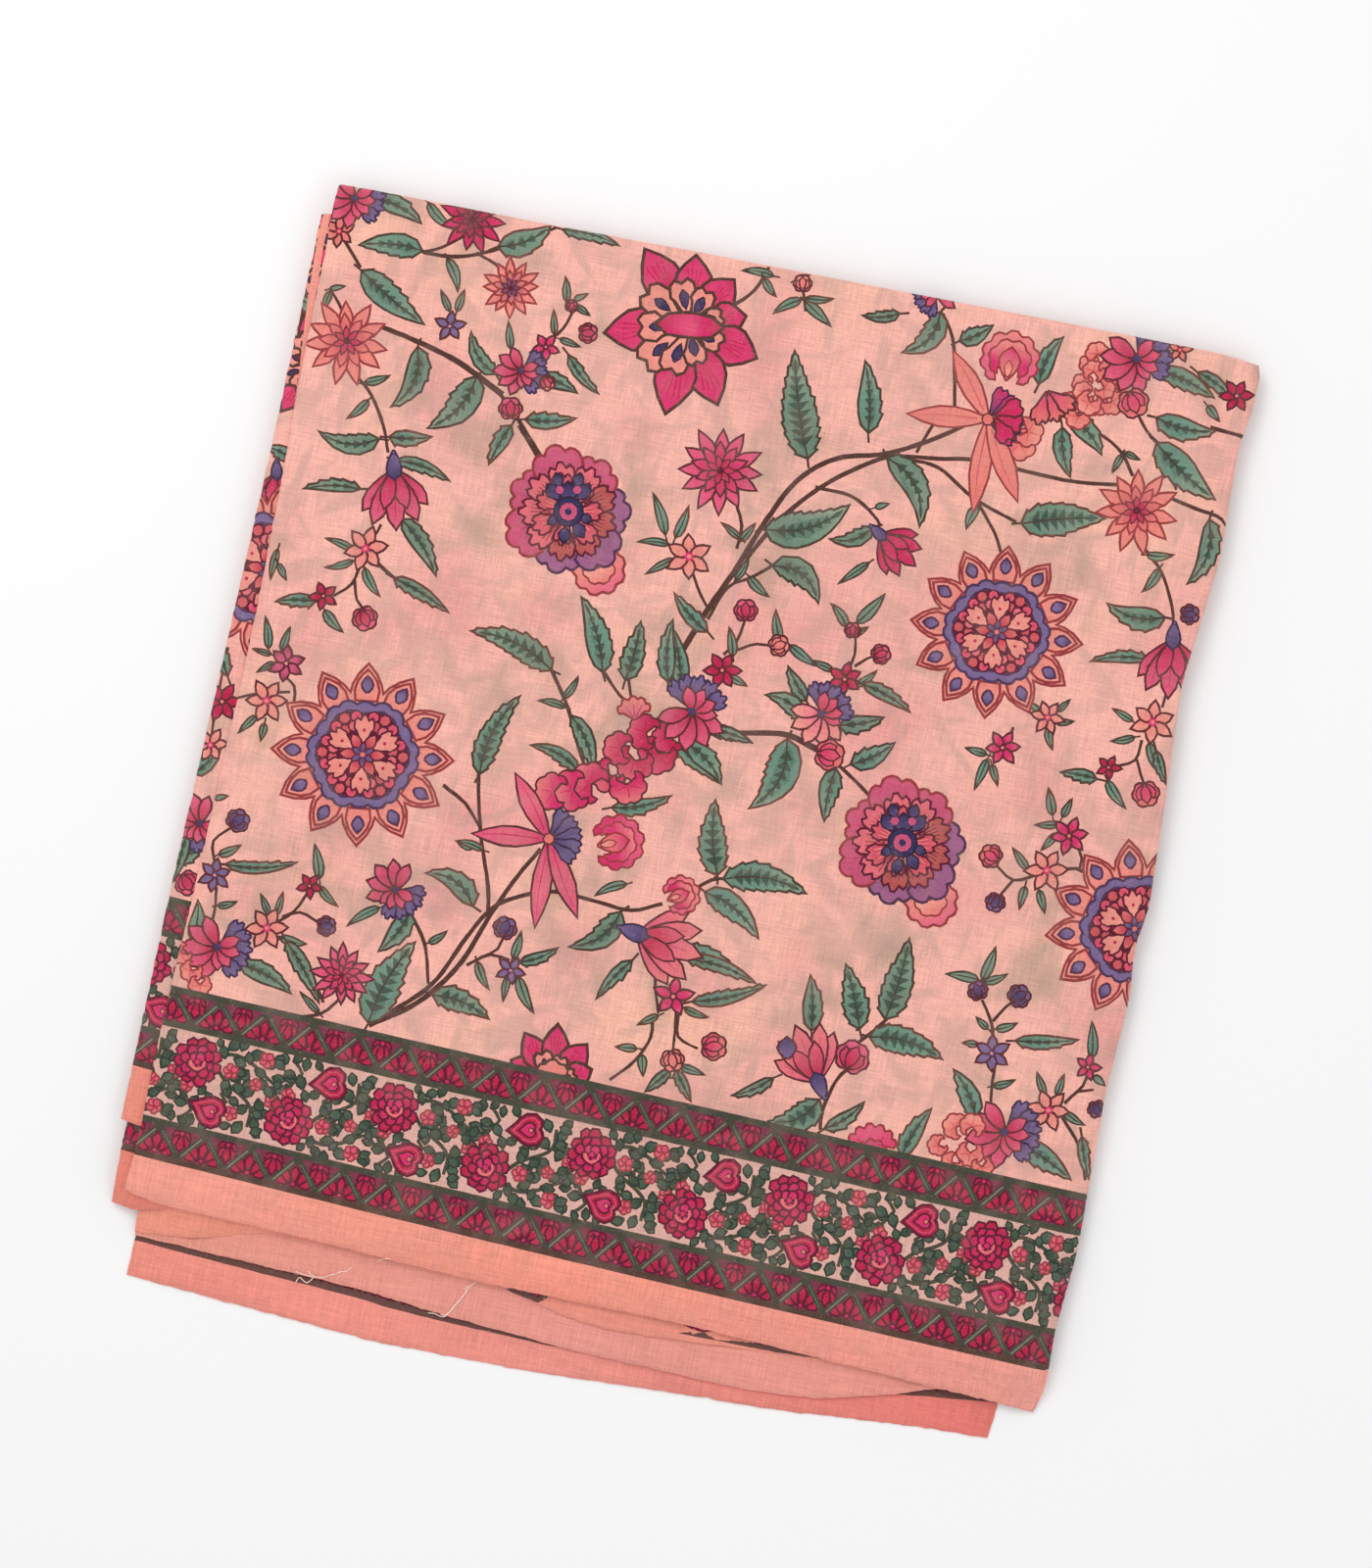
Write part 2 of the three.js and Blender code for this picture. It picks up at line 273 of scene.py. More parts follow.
# ---- petals ----------------------------------------------------------------
def petal_points(cx, cy, angle, r0, r1, wide, belly=0.55, tip=1.0, n=5):
    ca, sa = math.cos(math.radians(angle)), math.sin(math.radians(angle))
    one, two = [], []
    for i in range(n + 1):
        t = i / n
        if t < belly:
            h = (0.25 + 0.75 * math.sin(math.pi / 2 * t / belly)) if r0 > 0 else math.sin(math.pi / 2 * t / belly) ** 0.8
        else:
            h = math.cos(math.pi / 2 * (t - belly) / (1 - belly)) ** tip
        r, h = r0 + (r1 - r0) * t, h * wide / 2
        one.append((cx + ca * r - sa * h, cy + sa * r + ca * h))
        if i < n:
            two.append((cx + ca * r + sa * h, cy + sa * r - ca * h))
    return one + two[::-1]


def petal(pr, cx, cy, angle, r0, r1, wide, inner, outer, line=1.8, edge=LINE, belly=0.55, tip=1.0, middle=None):
    pts = petal_points(cx, cy, angle, r0, r1, wide, belly, tip, 5 if r1 > 26 else 4)
    ends = fan(cx, cy, angle, [(0, r0), (0, r1)])
    pr.shape(pts, inner, middle or mix(inner, outer, 0.5), outer, ends[0], ends[1], 1, line, edge)


def ruffle_points(cx, cy, angle, r0, r1, spread, lobes, depth=0.12, fine=3):
    pts = [(-spread * 0.45, r0), (-spread * 0.85, r0 + (r1 - r0) * 0.5)]
    n = lobes * fine
    for i in range(n + 1):
        s = -1 + 2 * i / n
        swell = abs(math.sin(math.pi * lobes * (s + 1) / 2)) ** 0.6
        round_off = 1 - 0.22 * abs(s) ** 2.2
        pts.append((spread * s, r1 * round_off * (1 - depth + depth * swell)))
    pts += [(spread * 0.85, r0 + (r1 - r0) * 0.5), (spread * 0.45, r0)]
    return fan(cx, cy, angle, pts)


def ruffle(pr, cx, cy, angle, r0, r1, spread, lobes, inner, outer, line=1.8, edge=LINE, veins=0, vein_colour=None, depth=0.12, fine=3):
    pts = ruffle_points(cx, cy, angle, r0, r1, spread, lobes, depth, fine)
    ends = fan(cx, cy, angle, [(0, r0), (0, r1)])
    pr.shape(pts, inner, mix(inner, outer, 0.55), outer, ends[0], ends[1], 1, line, edge)
    for k in range(veins):
        s = -0.7 + 1.4 * (k + 0.5) / veins
        p = fan(cx, cy, angle, [(spread * s * 0.6, r0 + (r1 - r0) * 0.12), (spread * s, r0 + (r1 - r0) * 0.66)])
        pr.stroke(p, 1.5, 0.7, vein_colour or mix(inner, LINE, 0.6), 10)


def dot(pr, x, y, r, colour, line=0.0, edge=LINE, n=7, c1=None):
    pts = fan(x, y, pr.rng.random() * 90, [(360.0 * i / n, r) for i in range(n)])
    pr.shape(pts, colour, c1, None, (x, y), (x + r, y), 2 if c1 else 0, line, edge)


# ---- flowers ---------------------------------------------------------------
def star(pr, cx, cy, r, rot, kind, n=5):
    fills = {
        "peach": (MAGENTA, PEACH, SHELL),
        "rose": (CRIMSON, ROSE, PEACH),
        "magenta": (CLARET, MAGENTA, PINK),
        "crimson": (CLARET, CRIMSON, MAGENTA),
        "plum": (CLARET, MAUVE, PLUM),
        "violet": (INDIGO, VIOLET, VIOLET),
    }[kind]
    for i in range(n):
        a = rot + 360.0 * i / n + pr.rng.uniform(-5, 5)
        petal(pr, cx, cy, a, 0.0, r * pr.rng.uniform(0.93, 1.06), r * 0.54, fills[1], fills[2], 1.9, belly=0.5, middle=fills[1])
    dot(pr, cx, cy, r * 0.2, fills[0], n=6)
    dot(pr, cx, cy, r * 0.1, PEACH, n=5)


def dahlia(pr, cx, cy, r, rot, kind, n=11):
    inner, outer, core = {
        "magenta": (MAGENTA, PINK, CRIMSON),
        "peach": (ROSE, PEACH, CRIMSON),
        "crimson": (CRIMSON, MAGENTA, CLARET),
        "dark": (ROSE, PEACH, INDIGO),
    }[kind]
    edge = BRICK if kind in ("peach", "dark") else LINE
    for i in range(n):
        a = rot + 360.0 * i / n + pr.rng.uniform(-4, 4)
        petal(pr, cx, cy, a, r * 0.1, r * pr.rng.uniform(0.9, 1.06), r * 0.31, mix(core, inner, 0.5), outer, 1.9, edge, belly=0.55, tip=1.25, middle=mix(inner, outer, 0.6))
    for i in range(n - 2):
        a = rot + 15 + 360.0 * i / (n - 2)
        petal(pr, cx, cy, a, r * 0.08, r * pr.rng.uniform(0.56, 0.68), r * 0.24, mix(core, inner, 0.3), mix(inner, outer, 0.4), 1.6, edge, belly=0.55, tip=1.2)
    for i in range(7):
        petal(pr, cx, cy, rot + 360.0 * i / 7, 0, r * 0.34, r * 0.15, core, mix(core, PINK, 0.4), 1.2)
    dot(pr, cx, cy, r * 0.09, CLARET, n=6)


def mandala(pr, cx, cy, R, rot):
    n = 12
    tips = []
    for i in range(n):
        a = 360.0 * i / n
        tips += [(a - 15, 0.7 * R), (a - 11.5, 0.79 * R), (a - 6.5, 0.89 * R), (a, R), (a + 6.5, 0.89 * R), (a + 11.5, 0.79 * R)]
    outline = fan(cx, cy, rot, tips)
    pr.add(offset(outline, 1.4), BRICK)
    pr.add(offset(outline, -1.3), mix(PEACH, SHELL, 0.5))
    for i in range(n):
        a = rot + 360.0 * i / n
        pts = fan(cx, cy, a, [(-11.5, 0.6 * R), (-11, 0.72 * R), (-7.6, 0.815 * R), (-3.4, 0.885 * R), (0, 0.935 * R), (3.4, 0.885 * R), (7.6, 0.815 * R), (11, 0.72 * R), (11.5, 0.6 * R)])
        ends = fan(cx, cy, a, [(0, 0.6 * R), (0, 0.94 * R)])
        pr.shape(pts, mix(ROSE, SHELL, 0.35), mix(ROSE, SHELL, 0.6), mix(PEACH, SHELL, 0.6), ends[0], ends[1], 1, 2.2, BRICK)
    for i in range(n):
        a = rot + 360.0 * i / n
        pts = petal_points(cx, cy, a, 0.685 * R, 0.865 * R, 0.13 * R, 0.45, 1.0, 4)
        ends = fan(cx, cy, a, [(0, 0.685 * R), (0, 0.865 * R)])
        pr.shape(pts, VIOLET, VIOLET, INDIGO, ends[0], ends[1], 1, 1.9, ink(86, 44, 74))
    lobes, m = 18, 72
    ring = [(360.0 * k / m, R * (0.565 + 0.022 * math.cos(math.radians(6 * 360.0 * k / m)) + 0.04 * abs(math.sin(math.radians(lobes / 2 * 360.0 * k / m))) ** 0.7)) for k in range(m)]
    pr.shape(fan(cx, cy, rot, ring), VIOLET, line=2.2, edge=ink(76, 50, 84))
    hexagon = [(360.0 * k / 60, R * (0.47 + 0.035 * math.cos(math.radians(6 * 360.0 * k / 60)) + 0.02 * abs(math.sin(math.radians(9 * 360.0 * k / 60))))) for k in range(60)]
    pr.shape(fan(cx, cy, rot, hexagon), CLARET, line=2.2, edge=ink(76, 50, 84))
    for i in range(6):
        a = rot + 60.0 * i
        for d, r, size, c in ((-17, 0.425, 0.066, MAGENTA), (0, 0.445, 0.066, CRIMSON), (17, 0.425, 0.066, MAGENTA), (-9, 0.33, 0.062, CRIMSON), (9, 0.33, 0.062, PINK)):
            x, y = fan(cx, cy, a, [(d, r * R)])[0]
            dot(pr, x, y, size * R, c, 1.5, CLARET, 7, c1=mix(c, ROSE, 0.5))
    for i in range(6):
        a = rot + 30 + 60.0 * i
        ruffle(pr, cx, cy, a, 0.1 * R, 0.44 * R, 21, 3, SHELL, PEACH, 1.7, CLARET)
        x, y = fan(cx, cy, a, [(0, 0.27 * R)])[0]
        dot(pr, x, y, 0.022 * R, CRIMSON, n=5)
    for i in range(6):
        petal(pr, cx, cy, rot + 60.0 * i, 0.05 * R, 0.26 * R, 0.12 * R, CRIMSON, ROSE, 1.5, CLARET)
    for i in range(6):
        petal(pr, cx, cy, rot + 30 + 60.0 * i, 0.0, 0.14 * R, 0.07 * R, INDIGO, VIOLET, 1.3, CLARET)
    dot(pr, cx, cy, 0.03 * R, ROSE, n=6)


def peony(pr, cx, cy, R, rot):
    """Ruffled petals, pink on one side and violet on the other, round a dark eye."""
    lobe_x, lobe_y = fan(cx, cy, rot + 62, [(0, 0.98 * R)])[0]
    ruffle(pr, lobe_x, lobe_y, rot + 62, 1, 0.44 * R, 172, 9, PEACH, PINK, 2.2, BRICK)
    ruffle(pr, lobe_x, lobe_y, rot + 62, 1, 0.27 * R, 172, 7, SHELL, ROSE, 1.6, BRICK)
    violet = mix(VIOLET, MAUVE, 0.18)
    for i in (0, 2, 4, 6, 1, 3, 5):
        a = rot + 51.4 * i
        cold = -20 <= (((a - rot) + 180) % 360 - 180) <= 125
        out = violet if cold else MAUVE
        ruffle(pr, cx, cy, a, 0.3 * R, (1.05 if i % 2 else 0.97) * R, 31, 3, mix(out, BRICK, 0.3), mix(out, PINK, 0.2), 2.3, BRICK if not cold else ink(80, 46, 76), veins=4, vein_colour=mix(out, LINE, 0.45), depth=0.09, fine=5)
    for i in range(9):
        a = rot + 20 + 40.0 * i
        cold = -20 <= (((a - rot) + 180) % 360 - 180) <= 125
        ruffle(pr, cx, cy, a, 0.2 * R, 0.78 * R, 22, 3, mix(ROSE, BRICK, 0.3), mix(BRICK, ROSE, 0.25) if cold else mix(PINK, ROSE, 0.4), 1.9, CLARET, veins=5, vein_colour=CLARET if cold else BRICK)
    for i in range(7):
        a = rot + 51.4 * i
        ruffle(pr, cx, cy, a, 0.12 * R, (0.62 if i % 2 else 0.54) * R, 22, 3, CRIMSON, mix(ROSE, MAGENTA, 0.4), 1.8, CLARET, veins=3, vein_colour=PEACH)
    night = ink(48, 42, 88)
    for d, r, s in ((-128, 0.40, 0.13), (-52, 0.40, 0.13), (-108, 0.52, 0.10), (-72, 0.52, 0.10), (-90, 0.30, 0.16), (60, 0.34, 0.12), (100, 0.38, 0.11), (22, 0.3, 0.09), (150, 0.28, 0.09)):
        x, y = fan(cx, cy, rot, [(d, r * R)])[0]
        petal(pr, x, y, rot + d + 180, -s * R, s * R * 1.3, s * 1.7 * R, night, mix(night, VIOLET, 0.5), 1.4, ink(44, 26, 50), belly=0.45)
    dot(pr, *fan(cx, cy, rot, [(-112, 0.36 * R)])[0], 0.075 * R, MAUVE, 0.8, night, 6)
    dot(pr, *fan(cx, cy, rot, [(-68, 0.36 * R)])[0], 0.075 * R, MAUVE, 0.8, night, 6)
    dot(pr, cx, cy, 0.23 * R, night, 1.6, ink(44, 26, 50), 11)
    dot(pr, cx, cy, 0.15 * R, MAUVE, 1.0, ink(60, 30, 70), 9)
    dot(pr, cx, cy, 0.06 * R, night, n=6)


LOTUS_OUTER = ((-128, 1.1, 0.5), (-92, 0.88, 0.46), (-53, 0.8, 0.46), (-17, 0.72, 0.44), (18, 0.94, 0.5), (62, 1.05, 0.5), (97, 1.14, 0.52), (167, 1.06, 0.54))
LOTUS_INNER = ((-150, 0.72), (-108, 0.6), (-70, 0.52), (132, 0.78), (104, 0.66), (70, 0.52), (24, 0.5), (-24, 0.46), (170, 0.66))


def lotus(pr, cx, cy, R, rot, half=False):
    outer = [r for r in LOTUS_OUTER if not half or -140 < r[0] < -30]
    if half:
        outer = ((-150, 0.8, 0.5), (-118, 0.98, 0.46), (-84, 1.02, 0.46), (-48, 0.9, 0.48), (-20, 0.72, 0.44))
    for d, r, w in outer:
        a = rot + d
        petal(pr, cx, cy, a, 0.25 * R, r * R, w * R, CRIMSON, MAGENTA, 2.6, BARK, belly=0.46, middle=mix(PINK, MAGENTA, 0.75))
        for s in (-7, -2.5, 2.5, 7):
            p = fan(cx, cy, a, [(s * 0.6, 0.46 * R), (s, 0.8 * r * R)])
            pr.stroke(p, 0.6, 1.6, mix(CRIMSON, MAGENTA, 0.3), 20)
    for d, r in LOTUS_INNER:
        if half and not -130 < d < -20:
            continue
        a = rot + d
        ruffle(pr, cx, cy, a, 0.08 * R, r * R, 24, 2, SHELL, PEACH, 2.5, BARK)
        x, y = fan(cx, cy, a, [(0, r * R * 0.74)])[0]
        petal(pr, x, y, a + 180, 0, 0.24 * R, 0.12 * R, INDIGO, ink(52, 46, 84), 1.3, ink(52, 30, 60), belly=0.35)
    if half:
        ruffle(pr, cx, cy, rot - 88, 0.05 * R, 0.42 * R, 60, 3, ROSE, PEACH, 2.2, BARK)
        return
    pts = [(0, 0.44 * R), (25, 0.32 * R), (60, 0.18 * R), (90, 0.15 * R), (120, 0.17 * R), (155, 0.3 * R), (180, 0.42 * R), (205, 0.3 * R), (240, 0.18 * R), (270, 0.16 * R), (300, 0.18 * R), (335, 0.3 * R)]
    pr.shape(fan(cx, cy, rot - 4, pts), PINK, MAGENTA, CRIMSON, (cx, cy), (cx + 0.4 * R, cy), 2, 2.6, BARK)


def orchid(pr, cx, cy, s, rot, kind):
    inner, outer = (mix(PINK, MAGENTA, 0.35), MAGENTA) if kind == "magenta" else (ROSE, PEACH)
    for d, r, w in ((243, 0.9, 0.24), (184, 0.94, 0.25), (99, 1.1, 0.24), (70, 1.02, 0.25)):
        petal(pr, cx, cy, rot + d, 2, s * r, s * w, outer, inner, 1.8, BRICK if kind != "magenta" else LINE, belly=0.5, middle=mix(inner, SHELL, 0.25))
        p = fan(cx, cy, rot + d, [(0, s * 0.12), (2, s * r * 0.6), (0, s * r * 0.86)])
        pr.stroke(p, 1.5, 0.6, mix(outer, CRIMSON, 0.6), 14)
    for d in (-62, -36, -10, 16, 42):
        ruffle(pr, cx, cy, rot + d, 1, s * 0.42, 17, 2, INDIGO, VIOLET if kind == "magenta" else MAGENTA, 1.6, ink(60, 34, 66))
    dot(pr, cx, cy, s * 0.07, ROSE, 1.3, n=7)


def rosebud(pr, cx, cy, r, rot, kind="pink"):
    outer, inner = (PINK, MAGENTA) if kind == "pink" else (PEACH, PINK)
    ruffle(pr, cx, cy, rot, 1, r, 150, 9, inner, outer, 1.8, BRICK)
    ruffle(pr, cx, cy, rot, 1, r * 0.74, 140, 6, MAGENTA, mix(outer, SHELL, 0.35), 1.6, BRICK)
    x, y = fan(cx, cy, rot + 180, [(0, r * 0.55)])[0]
    petal(pr, x, y, rot, 0, r * 1.05, r * 0.66, PEACH, MAGENTA, 1.6, BRICK, belly=0.6)
    petal(pr, x, y, rot, r * 0.1, r * 0.62, r * 0.26, SHELL, ROSE, 1.1, BRICK, belly=0.6)


def bell(pr, cx, cy, s, rot, kind="magenta"):
    """A hanging flower that opens towards rot."""
    inner, outer = {"magenta": (CRIMSON, PINK), "crimson": (CRIMSON, MAGENTA), "peach": (mix(PINK, MAGENTA, 0.5), mix(PEACH, PINK, 0.3))}[kind]
    x, y = fan(cx, cy, rot + 180, [(0, s * 0.42)])[0]
    for d, r, w in ((-50, 0.84, 0.27), (47, 0.9, 0.28), (-27, 0.98, 0.3), (28, 1.02, 0.3), (0, 1.06, 0.32)):
        petal(pr, x, y, rot + d * 0.82, s * 0.1, s * r, s * w, inner, outer, 1.8, belly=0.62, tip=0.8)
        p = fan(x, y, rot + d * 0.82, [(0, s * 0.2), (0, s * r * 0.78)])
        pr.stroke(p, 1.4, 0.6, mix(inner, LINE, 0.3), 14)
    for d in (-16, 16):
        petal(pr, x, y, rot + d, s * 0.05, s * 0.72, s * 0.26, CRIMSON, mix(MAGENTA, outer, 0.5), 1.6, belly=0.62)
    petal(pr, *fan(x, y, rot + 180, [(0, s * 0.3)])[0], rot, 0, s * 0.5, s * 0.26, VIOLET, INDIGO, 1.7, ink(56, 40, 70), belly=0.7, tip=0.6)


def iris(pr, cx, cy, s, rot, kind="magenta"):
    """Scalloped violet petals at the back, pointed ones in front."""
    front = {"magenta": (CRIMSON, PINK), "peach": (PINK, SHELL)}[kind]
    for d in (-62, -38, -14, 12, 38):
        ruffle(pr, cx, cy, rot + d, s * 0.1, s * 0.62, 20, 3, INDIGO, VIOLET, 1.7, ink(60, 40, 74))
    for d, r, w in ((95, 0.62, 0.27), (128, 0.62, 0.28), (160, 0.66, 0.3), (195, 0.62, 0.28), (228, 0.58, 0.26)):
        petal(pr, cx, cy, rot + d, 0, s * r, s * w, front[0], front[1], 1.8, belly=0.62, tip=0.8)
    for d in (70, 40, 0, -40):
        petal(pr, cx, cy, rot + d, 0, s * 0.42, s * 0.22, CRIMSON, PINK, 1.5, belly=0.6)
    dot(pr, cx, cy, s * 0.07, INDIGO, n=6)


def bud(pr, cx, cy, r, rot, kind="crimson"):
    c = {"crimson": (CRIMSON, PINK), "peach": (ROSE, PEACH), "violet": (INDIGO, VIOLET), "pink": (MAGENTA, ROSE), "blue": (ink(44, 52, 110), VIOLET)}[kind]
    ruffle(pr, cx, cy, rot, 0.5, r, 172, 6, mix(c[0], c[1], 0.6), c[1], 1.8)
    for d in (-48, 48, 0):
        petal(pr, *fan(cx, cy, rot + 180, [(0, r * 0.62)])[0], rot + d * 0.6, 0, r * (1.2 if d else 1.36), r * 0.72, c[0], mix(c[0], c[1], 0.5), 1.4, belly=0.6, tip=0.7)


def puffs(pr, places, r, kind):
    """A row or bunch of overlapping scalloped petals."""
    for i, (x, y, a) in enumerate(places):
        t = i / max(1, len(places) - 1)
        if kind == "magenta":
            inner, outer = mix(CRIMSON, MAGENTA, t), mix(mix(MAGENTA, PINK, 0.4), PEACH, t * 0.9)
        else:
            inner, outer = ROSE, mix(PEACH, SHELL, pr.rng.random())
        size = r * pr.rng.uniform(0.85, 1.12)
        ruffle(pr, x, y, a, 0.5, size * (0.86 if kind == "magenta" else 0.66), 140 if kind == "magenta" else 154, 6, inner, outer, 1.7, LINE if kind == "magenta" else BRICK, veins=3, vein_colour=mix(inner, CRIMSON, 0.5), fine=4)


# ---- the field: stems, leaves and flowers on the board ---------------------
STEMS = [
    # width at the start and the end, then the points
    (5.0, 3.2, [(376, 1046), (426, 1023), (468, 985), (502, 931), (529, 893), (552, 866)]),
    (4.0, 3.0, [(395, 1035), (441, 1004), (475, 958), (502, 927), (533, 914), (567, 910), (609, 920), (644, 929), (676, 922)]),
    (3.4, 2.6, [(498, 932), (498, 904), (490, 845), (489, 786), (498, 760)]),
    (3.2, 2.4, [(452, 801), (475, 820), (489, 843)]),
    (3.2, 2.6, [(563, 684), (579, 721), (590, 762), (600, 790)]),
    (2.6, 2.2, [(615, 684), (632, 709), (646, 722)]),
    (2.4, 2.2, [(641, 690), (644, 712)]),
    (5.2, 3.4, [(689, 676), (721, 624), (752, 579), (779, 535), (814, 490), (854, 468), (904, 463), (953, 448), (988, 432), (1006, 424)]),
    (4.0, 3.0, [(761, 571), (796, 530), (841, 495), (886, 473), (913, 466), (957, 468), (1002, 470), (1055, 483), (1100, 492), (1145, 495)]),
    (3.0, 2.4, [(832, 497), (868, 506), (890, 524), (898, 536)]),
    (3.0, 2.6, [(921, 468), (957, 477), (993, 508), (1037, 533)]),
    (2.6, 2.4, [(997, 512), (1015, 544), (1022, 566)]),
    (2.8, 2.4, [(935, 462), (948, 440), (958, 424)]),
    (3.0, 2.6, [(974, 432), (974, 380), (972, 345), (962, 320)]),
    (2.8, 2.4, [(1156, 486), (1145, 463), (1127, 446), (1100, 432)]),
    (3.2, 2.6, [(1194, 508), (1220, 519), (1247, 530), (1262, 552)]),
    (3.4, 2.8, [(1235, 436), (1252, 441), (1272, 446)]),
    (2.8, 2.4, [(1164, 555), (1185, 584), (1196, 620), (1197, 642)]),
    (2.6, 2.2, [(1156, 410), (1170, 440), (1190, 462), (1200, 500)]),
    (3.0, 2.4, [(745, 314), (770, 296), (785, 272)]),
    (3.0, 2.6, [(433, 258), (467, 262), (502, 256), (540, 243), (568, 232)]),
    (2.6, 2.4, [(431, 258), (452, 252), (475, 240)]),
    (2.4, 2.4, [(486, 258), (506, 270), (516, 282)]),
    (2.8, 2.4, [(352, 246), (368, 273)]),
    (4.0, 5.4, [(383, 331), (425, 348), (460, 365), (483, 380), (513, 403)]),
    (2.8, 2.4, [(364, 384), (379, 403), (391, 434), (396, 462)]),
    (3.0, 2.6, [(529, 434), (540, 452), (553, 474)]),
    (2.4, 2.0, [(540, 361), (557, 350), (575, 335), (586, 315)]),
    (2.2, 1.8, [(337, 295), (346, 310), (352, 325)]),
    (2.4, 2.0, [(389, 535), (384, 545)]),
    (2.4, 2.2, [(368, 575), (359, 596), (340, 608)]),
    (2.2, 2.0, [(362, 590), (364, 612), (371, 622)]),
    (3.0, 2.2, [(385, 574), (400, 588), (420, 600)]),
    (2.4, 2.2, [(284, 684), (300, 700), (300, 716)]),
    (2.4, 2.2, [(236, 714), (262, 708), (296, 706)]),
    (2.4, 2.2, [(316, 908), (300, 930), (280, 942)]),
    (2.4, 2.2, [(288, 936), (306, 931), (326, 942)]),
    (2.6, 2.4, [(280, 955), (300, 968), (320, 1000), (330, 1023)]),
    (3.0, 2.4, [(418, 931), (433, 962), (437, 1004)]),
    (2.8, 2.2, [(476, 985), (500, 974), (520, 980)]),
    (2.4, 2.0, [(494, 976), (508, 968), (514, 956)]),
    (3.0, 2.2, [(290, 1038), (326, 1035), (348, 1018)]),
    (2.4, 2.0, [(219, 880), (218, 858), (240, 842)]),
    (2.4, 2.0, [(221, 905), (219, 930), (214, 948)]),
    (3.0, 2.6, [(708, 908), (726, 898), (752, 896)]),
    (2.6, 2.2, [(669, 992), (669, 1012), (672, 1034)]),
    (2.6, 2.2, [(752, 517), (757, 536), (752, 560)]),
    (2.4, 2.2, [(707, 585), (714, 605), (722, 620)]),
    (3.0, 2.4, [(722, 632), (742, 600), (765, 590), (787, 578)]),
    (2.4, 2.0, [(738, 668), (752, 654), (761, 630)]),
    (2.4, 2.0, [(750, 664), (772, 657), (790, 660)]),
    (2.6, 2.0, [(734, 698), (720, 712), (708, 724)]),
    (2.4, 2.0, [(862, 690), (872, 668), (873, 640)]),
    (2.2, 2.0, [(872, 680), (885, 672), (896, 668)]),
    (3.4, 5.6, [(723, 748), (765, 748), (803, 750), (834, 765)]),
    (3.0, 2.8, [(857, 782), (874, 798), (890, 815)]),
    (2.4, 2.0, [(1034, 742), (1030, 752), (1024, 762)]),
    (2.4, 2.0, [(1062, 722), (1068, 730)]),
    (2.4, 2.2, [(1165, 755), (1158, 776), (1134, 783)]),
    (2.2, 2.0, [(1160, 775), (1164, 790), (1168, 802)]),
    (2.4, 2.2, [(1060, 892), (1034, 898), (1014, 880)]),
    (2.2, 2.0, [(1034, 898), (1020, 914)]),
    (2.4, 2.2, [(1098, 860), (1104, 876), (1102, 886)]),
    (2.6, 2.4, [(1080, 888), (1098, 886), (1106, 890)]),
    (3.0, 2.6, [(837, 1153), (839, 1134), (853, 1103), (868, 1088)]),
    (3.0, 2.4, [(873, 1066), (886, 1056), (905, 1040)]),
    (2.4, 2.2, [(875, 1052), (873, 1035)]),
    (2.6, 2.2, [(1013, 1068), (1012, 1045), (1002, 1020)]),
    (3.4, 2.8, [(505, 395), (522, 418), (540, 446), (556, 472)]),
    (2.4, 2.0, [(1013, 1042), (1026, 1028), (1036, 1020)]),
    (2.6, 2.2, [(1015, 1088), (1012, 1110), (1011, 1128)]),
    (2.4, 2.2, [(1048, 1145), (1060, 1142)]),
    (2.6, 2.2, [(1086, 1126), (1105, 1108), (1110, 1094)]),
    (2.2, 2.0, [(1100, 1114), (1116, 1112)]),
    (2.8, 2.4, [(1084, 1140), (1101, 1170), (1108, 1205)]),
    (2.8, 2.2, [(666, 1035), (664, 1058), (648, 1082), (622, 1102)]),
    (2.6, 2.2, [(692, 1035), (692, 1058), (712, 1070)]),
    (2.2, 2.0, [(690, 1030), (688, 1060), (686, 1074)]),
    (2.4, 2.0, [(1197, 690), (1190, 708), (1186, 722)]),
    (2.4, 2.0, [(812, 282), (820, 300), (822, 318)]),
]
